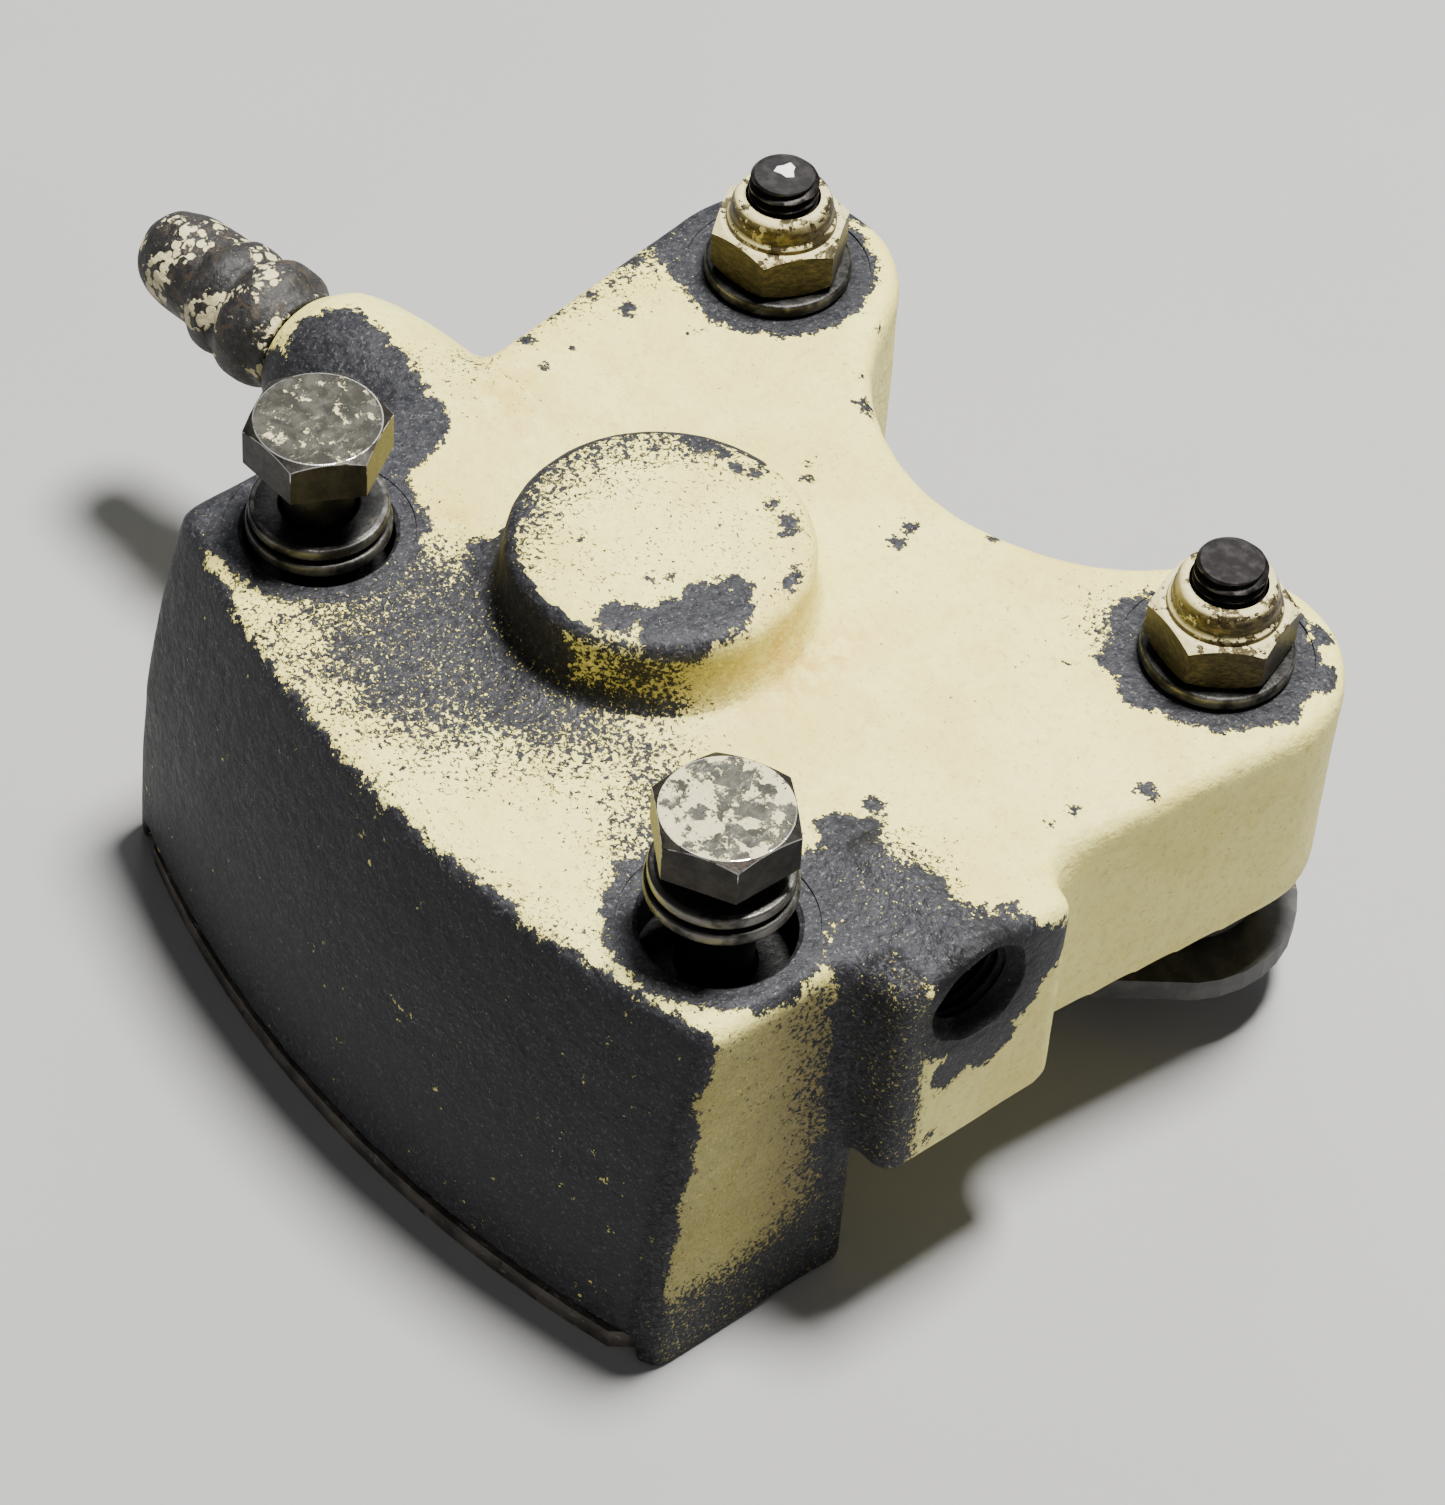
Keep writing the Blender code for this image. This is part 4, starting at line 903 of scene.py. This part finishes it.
def chips(skin):
    """How far each point lies inside a chip, a bare seat or a larger bare patch."""
    bare = np.clip(skin.wall, OUTSIDE, INSIDE)
    for x, y, radius in TOP_CHIPS:
        bare = np.maximum(bare, ball(skin.points, x, y, TOP_Z, radius) - 0.4)
    for x, y, radius in BOSS_CHIPS:
        bare = np.maximum(bare, ball(skin.points, x, y, BOSS_TOP_Z, radius) - 0.3)
    for patch in PATCHES:
        bare = np.maximum(bare, ball(skin.points, *patch))
    seats = [(bolt, BOLT_BARE_R) for bolt in BOLTS.values()]
    seats += [(stud, STUD_BARE_R) for stud in STUDS.values()]
    for at, radius in seats:
        bare = np.maximum(bare, np.where(skin.near_top > 0, radius - skin.from_axis(at), OUTSIDE))
    for start, end, radius in BARE_BARS:
        bare = np.maximum(bare, bar(skin.points, start, end, radius))
    return bare


def paint_lost(skin, dark):
    """How far each point lies inside the bare metal, in millimetres."""
    # the boss's side, bare from its back round its left to its front, and its front-left foot, dark as bare
    # metal and as painted shadow of the boss
    sector = np.clip(np.minimum(skin.turn - 95, 292 - skin.turn) / 10, -6, 4)
    bare = np.maximum(chips(skin), np.where(skin.boss_side > 0, sector, OUTSIDE))
    foot_bare_and_shadow = bar(skin.points, (-20, 12, TOP_Z), (-6, 4.5, TOP_Z), 5.0)
    bare = np.maximum(bare, foot_bare_and_shadow * 0.7 - 1.4)
    # what faces down or towards the hub below the slab is machined or unpainted
    below = soft(-skin.z, -SLAB_BOTTOM_Z - 0.5, -SLAB_BOTTOM_Z + 1.0) * soft(-skin.out[:, 2], 0.3, 0.7)
    sideways = 1 - soft(np.abs(skin.out[:, 0]), 0.55, 0.8)
    inner = soft(-skin.from_disc, -OUTER_R + 4, -OUTER_R + 9)
    inner = inner * soft(-skin.z, -SLAB_BOTTOM_Z, -SLAB_BOTTOM_Z + 2) * sideways
    # where shade is painted inside the holes and the port's mouth, the paint is taken off as well
    for share in (below, inner, dark):
        bare = np.maximum(bare, share * 12 - 6)
    return bare


def flecking(skin):
    """How much of the paint is lost in fine flecks, from 0 to 1."""
    top = soft(skin.from_disc, OUTER_R - 7, OUTER_R - 2) * 0.16
    for place in TOP_WEAR:
        top = top + skin.bump(*place)
    end = skin.end_face * (0.10 + 0.34 * soft(skin.y, -4, 6) + 0.50 * soft(-skin.z, -17, -7))
    boss_right = skin.boss_side * soft(-np.abs(skin.turn - 312), -38, -4) * 0.52
    boss_cap = soft(skin.z, BOSS_TOP_Z - 1.5, BOSS_TOP_Z - 0.5) * (skin.from_bore < BOSS_R + 2)
    left_rim = soft(skin.from_bore, 5, BOSS_R) * soft(BORE.x - skin.x, -2, 12)
    boss_left = boss_cap * (0.16 + left_rim * 0.34)
    worn = 0.14 + top * skin.near_top + end + skin.port_side + boss_right + boss_left
    return np.minimum(worn, MOST_WORN)


def staining(skin):
    return sum(skin.bump(*place) for place in STAINS)


def soiling(skin):
    end = skin.end_face * (0.72 + 0.28 * soft(skin.y, -10, 4))
    return end + skin.port_side * 0.9 + skin.boss_side * soft(-np.abs(skin.turn - 325), -50, 0) * 0.6


def wear_fields(points, out):
    """What the casting's finish reads at each point, by name."""
    skin = Skin(points, out)
    dark = painted_hole_shade(skin)
    shares = {
        "worn": flecking(skin),
        "stain": staining(skin),
        "soil": soiling(skin),
        # the outer wall: a smoother skin without flecks, and a darker colour that is partly painted shade
        "wall_smooth_and_shaded": soft(skin.wall, 0.6, 2.2) * soft(-out[:, 2], -0.85, -0.5),
        # painted shade inside the holes and the port's mouth
        "painted_hole_shade": dark,
    }
    fields = {name: np.clip(values, 0, 1) for name, values in shares.items()}
    fields["bare"] = paint_lost(skin, dark)
    return fields


def build_casting():
    mesh = casting_mesh()
    fields = wear_fields(coordinates(mesh), normals(mesh))
    for name, values in fields.items():
        made = mesh.attributes.new(name, "FLOAT", "POINT")
        made.data.foreach_set("value", values.astype(np.float32))
    return piece("casting", mesh, [casting_finish()], "housing", ["caliper_body"], 40)


# ---------------------------------------------------------------- bolts, washers and nuts

def build_bolt(name, turn, paint_amount):
    node = f"{name}_bolt"
    at = BOLTS[name]
    bottom = low(node).z
    top = high(node).z
    head = top - BOLT_HEAD_H
    corner = HEX_R + 0.1
    flat = HEX_AF / 2 - 0.15
    slope = (corner - flat) * math.tan(math.radians(30))
    crown = [(corner, head - 1), (corner, top - slope), (flat, top - 0.02), (flat - 1.2, top),
             (0.05, top - 0.06)]
    mesh = fused(hex_prism(head, top + 1, turn), lathe(crown, 96), "INTERSECT")
    seat = lathe(rounded_profile([(0.05, head + 0.4), (HEX_AF / 2 - 0.2, head + 0.4),
                                  (HEX_AF / 2 - 0.2, head), (0.05, head)][::-1], 0.1), 72)
    mesh = fused(mesh, seat, "UNION")
    shank = threaded_rod(M8_R, M8_PITCH, -(head + 0.5), -bottom, 40, 0.9, plain_below=-(bottom + 24))
    shank.transform(Matrix.Rotation(math.pi, 4, "X"))
    mesh = fused(mesh, shank, "UNION")
    moved(mesh, at.x, at.y)
    flank = steel_finish(f"{name} bolt steel", top, paint_amount)
    worn = steel_finish(f"{name} bolt worn edge", top, paint_amount, edge=True)
    bolt = piece(f"{name}_hex_bolt", mesh, [flank, worn], node, [node], 20)
    eased(bolt, 0.16, 24, slot=1)


def build_washers(name):
    flat_node = f"{name}_flat_washer"
    spring_node = f"{name}_spring_washer"
    at = middle(flat_node)
    bore = M8_R + GAP
    z0, z1 = low(flat_node).z, high(flat_node).z
    outer = high(flat_node).x - at.x
    corners = [(bore, z0), (outer, z0), (outer, z1), (bore, z1)]
    mesh = moved(lathe(rounded_profile(corners, 0.45, 4, True), 96, True), at.x, at.y)
    finish = washer_finish(f"{name} flat washer steel", flat_node)
    piece(f"{name}_plain_washer", mesh, [finish], f"{name}_washers", [flat_node])
    z0, z1 = low(spring_node).z, high(spring_node).z
    outer = high(spring_node).x - at.x
    rise = drop = 0.35
    z0 -= drop
    thick = z1 - z0 - rise - drop
    rings = []
    turns = 90
    start = 0.05                            # half the split, in radians
    section = rounded_profile([(bore, 0), (outer, 0.1), (outer, thick - 0.1), (bore, thick)], 0.35, 3, True)
    for k in range(turns + 1):
        a = SPLIT_ANGLE + start + (2 * math.pi - 2 * start) * k / turns
        lift = z0 + rise * k / turns
        rings.append([(r * math.cos(a), r * math.sin(a), lift + h) for r, h in section])
    mesh = moved(skin(rings), at.x, at.y)
    finish = washer_finish(f"{name} spring washer steel", spring_node, 0.8)
    piece(f"{name}_split_washer", mesh, [finish], f"{name}_washers", [spring_node])


def build_lock_nut(name, turn):
    node = f"{name}_lock_nut"
    at = middle(node)
    z0, z1 = low(node).z, high(node).z
    shoulder = z1 - NUT_COLLAR_H
    corner = HEX_R + 0.05
    flat = HEX_AF / 2 - 0.1
    slope = (corner - flat) * math.tan(math.radians(32))
    crown = [(flat, z0), (corner, z0 + slope), (corner, shoulder - slope), (flat, shoulder),
             (0.1, shoulder + 0.2)]
    mesh = fused(hex_prism(z0 - 1, shoulder + 1, turn), lathe(crown, 96), "INTERSECT")
    neck = 6.25
    collar = rounded_profile([
        (0.1, shoulder - 1), (neck, shoulder - 1), (neck, shoulder + 0.5), (5.75, shoulder + 1.0),
        (5.85, z1 - 1.5), (5.3, z1), (0.1, z1 - 0.1)], 0.5, 4)

    def crimp(angle, radius, z):
        return -0.28 * soft(z, shoulder + 1, z1) * max(0.0, math.cos(2 * (angle - math.radians(turn)))) ** 2

    mesh = fused(mesh, lathe(collar, 72, False, crimp), "UNION")
    mesh = fused(mesh, rod(M8_R + GAP, z0 - 1, z1 + 1, 48), "DIFFERENCE")
    moved(mesh, at.x, at.y)
    finish = nut_finish(f"{name} nut plating", node)
    nut = piece(f"{name}_crimped_nut", mesh, [finish], "housing", [node], 28)
    eased(nut, 0.14, 28)


def build_stud_washer(name):
    node = f"{name}_stud_washer"
    at = middle(node)
    z0, z1 = low(node).z, high(node).z
    outer = high(node).x - at.x
    corners = [(M8_R + GAP, z0), (outer, z0), (outer, z1), (M8_R + GAP, z1)]
    mesh = moved(lathe(rounded_profile(corners, 0.5, 4, True), 96, True), at.x, at.y)
    finish = washer_finish(f"{name} stud washer steel", node)
    piece(f"{name}_seat_washer", mesh, [finish], "housing", [node])


def build_guide_pin(name, finish, dab):
    node = f"{name}_guide_pin"
    at = STUDS[name]
    bottom, top = low(node).z, high(node).z
    shoulder = BOOT_POCKET_TOP_Z - GAP
    pin_r = 4.5
    flange_r, flange_z = 6.3, shoulder - 2
    profile = rounded_profile([(0.1, bottom), (pin_r - 1, bottom), (pin_r, bottom + 1), (pin_r, flange_z),
                               (flange_r, flange_z), (flange_r, shoulder), (0.1, shoulder)], 0.25)
    mesh = lathe(profile, 48)
    stud = threaded_rod(M8_R, M8_PITCH, shoulder - 1.0, top, 48, 0.55, depth=0.8)
    mesh = fused(mesh, stud, "UNION")
    moved(mesh, at.x, at.y)
    piece(f"{name}_pin", mesh, [finish], "housing", [node], 33)
    if dab:
        spot = lathe([(1.25, top - 0.05), (1.05, top + 0.04), (0.5, top + 0.08)], 9,
                     swell=lambda a, r, z: 0.28 * r * math.cos(3 * a + 0.6))
        drop = bpy.data.objects.new(f"{name}_pin_dab", moved(spot, at.x - 0.4, at.y + 0.5))
        spot.transform(Matrix.Scale(MM, 4))
        spot.materials.append(paint_dab_finish())
        bpy.context.scene.collection.objects.link(drop)
        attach(drop, "housing")


# ---------------------------------------------------------------- rubber

def build_cap():
    node = "bleed_cap"
    inner = 4.92
    corners = [
        (inner, 0.3), (6.3, 0.3), (6.45, 2.0), (7.3, 3.2), (7.62, 4.4), (7.62, 6.2), (7.1, 7.4), (6.35, 8.0),
        (6.25, 8.9), (6.75, 9.6), (7.0, 10.6), (6.95, 12.0), (6.5, 12.8), (6.1, 13.3), (6.0, 14.4),
        (6.0, 16.0), (5.95, 18.0), (5.6, 20.4), (5.0, 22.4), (4.1, 23.6), (2.8, 24.35), (1.4, 24.65),
        (0.05, 24.65), (0.05, 19.4), (3.4, 19.0), (3.4, 7.0), (inner, 6.2),
    ]

    def sag(angle, radius, z):
        return 0.10 * math.sin(3 * angle + z * 0.5) + 0.06 * math.sin(7 * angle - z)

    mesh = bleed_placed(lathe(rounded_profile(corners, 0.7, 3, True), 64, True, sag))
    piece("rubber_cap", mesh, [cap_finish()], "bleed_cap", [node], 60)


def build_boot(name, finish):
    node = f"{name}_pin_boot"
    at = middle(node)
    z0, z1 = low(node).z, high(node).z
    folds = 4
    outside = []
    steps = 8 * folds
    for i in range(steps + 1):
        share = i / steps
        crest = 8.55 + 0.75 * math.cos(2 * math.pi * folds * share)
        outside.append((crest, z0 + (z1 - z0) * share))
    inside = [(r - 0.9 if 1 < k < steps - 1 else 6.75, z) for k, (r, z) in enumerate(outside)]
    mesh = moved(lathe(outside + inside[::-1], 48, True), at.x, at.y)
    boot = piece(f"{name}_bellows", mesh, [finish], None, [node], 60)
    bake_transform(boot)


# ---------------------------------------------------------------- parts kept from the frame

def dress(node, finish, bevel=0.0):
    """Give a part of the frame its finish and ease its edges."""
    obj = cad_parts[node]
    if not obj.material_slots:
        obj.data.materials.append(None)
    for slot in obj.material_slots:
        slot.link = "OBJECT"
        slot.material = finish
    if bevel:
        eased(obj, bevel, 35)


def dress_kept_parts():
    plain = steel_finish("blackened steel")
    backing = plate_finish("pad backing", (0.11, 0.10, 0.095), (0.045, 0.042, 0.040))
    bare_plate = plate_finish("bare steel plate", (0.30, 0.27, 0.235), (0.13, 0.115, 0.10))
    bracket = black_paint_finish()
    rubber = rubber_finish()
    lining = friction_finish()
    bush = plate_finish("bush", (0.30, 0.26, 0.18), (0.14, 0.115, 0.07))
    dress("reaction_plate", bare_plate, 0.5)
    dress("bracket_plate", bracket, 0.5)
    for side in ("inner", "outer"):
        dress(f"{side}_pad_backing", backing, 0.25)
        dress(f"{side}_pad_lining", lining, 0.15)
    for side in ("left", "right"):
        dress(f"{side}_bush", bush, 0.2)
    dress("pad_spring", plain)
    dress("piston", chrome_finish(), 0.2)
    dress("piston_seal", rubber)
    dress("dust_seal", rubber)
    dress("bleed_screw", bush, 0.12)


# ---------------------------------------------------------------- floor, light and camera

def floor_finish():
    f = Finish("pale floor")
    tone = f.grain(60, 3)
    f.colour(f.mix(tone, (0.36, 0.36, 0.36), (0.335, 0.335, 0.34)))
    f.rough(0.75 + tone * 0.1)
    return f.material


def build_floor():
    half = 3.0
    mesh = bpy.data.meshes.new("floor")
    corners = [(-half, -half, 0), (half, -half, 0), (half, half, 0), (-half, half, 0)]
    mesh.from_pydata(corners, [], [(0, 1, 2, 3)])
    mesh.materials.append(floor_finish())
    floor = bpy.data.objects.new("floor", mesh)
    bpy.context.scene.collection.objects.link(floor)


def area_light(name, place, target, size, power, colour=(1, 1, 1)):
    data = bpy.data.lights.new(name, "AREA")
    data.shape = "DISK"
    data.size = size
    data.energy = power
    data.color = colour
    lamp = bpy.data.objects.new(name, data)
    lamp.location = place
    lamp.rotation_euler = (Vector(target) - Vector(place)).to_track_quat("-Z", "Y").to_euler()
    bpy.context.scene.collection.objects.link(lamp)


def build_light():
    target = (0.0, 0.03, 0.03)
    area_light("key", (0.02, 0.24, 0.96), target, 0.22, 30.0, (1.0, 0.985, 0.95))
    area_light("rim", (-0.50, 0.45, 0.50), target, 0.35, 1.4, (0.94, 0.97, 1.0))
    area_light("side fill", (0.70, -0.30, 0.50), target, 0.60, 0.8, (1.0, 0.98, 0.95))
    world = bpy.data.worlds.new("studio")
    world.use_nodes = True
    background = world.node_tree.nodes["Background"]
    background.inputs["Color"].default_value = (0.95, 0.96, 1.0, 1.0)
    background.inputs["Strength"].default_value = 0.10
    bpy.context.scene.world = world


def build_camera():
    """Camera above the front right corner of the caliper, looking down at 48 degrees."""
    look = Vector((-0.4957, 0.4477, -0.7442)).normalized()
    level = look.cross(Vector((0, 0, 1))).normalized()
    rise = level.cross(look)
    roll = math.radians(4.31)
    across = level * math.cos(roll) + rise * math.sin(roll)
    up = rise * math.cos(roll) - level * math.sin(roll)
    data = bpy.data.cameras.new("camera")
    data.sensor_width = 36.0
    data.lens = 124.4
    camera = bpy.data.objects.new("camera", data)
    camera.matrix_world = Matrix.Translation(Vector((284.0, -226.8, 451.2)) * MM) @ Matrix((
        (across.x, up.x, -look.x), (across.y, up.y, -look.y), (across.z, up.z, -look.z))).to_4x4()
    bpy.context.scene.collection.objects.link(camera)
    bpy.context.scene.camera = camera


def main():
    build_camera()
    build_floor()
    build_light()
    build_casting()
    build_bolt("front", 29, 0.12)
    build_bolt("rear", 3, 0.03)
    thread = thread_finish()
    rubber = rubber_finish()
    for name in ("front", "rear"):
        build_washers(name)
    for name, turn in (("right", 50), ("left", 7)):
        build_stud_washer(name)
        build_lock_nut(name, turn)
        build_guide_pin(name, thread, name == "left")
        build_boot(name, rubber)
    build_cap()
    dress_kept_parts()


main()
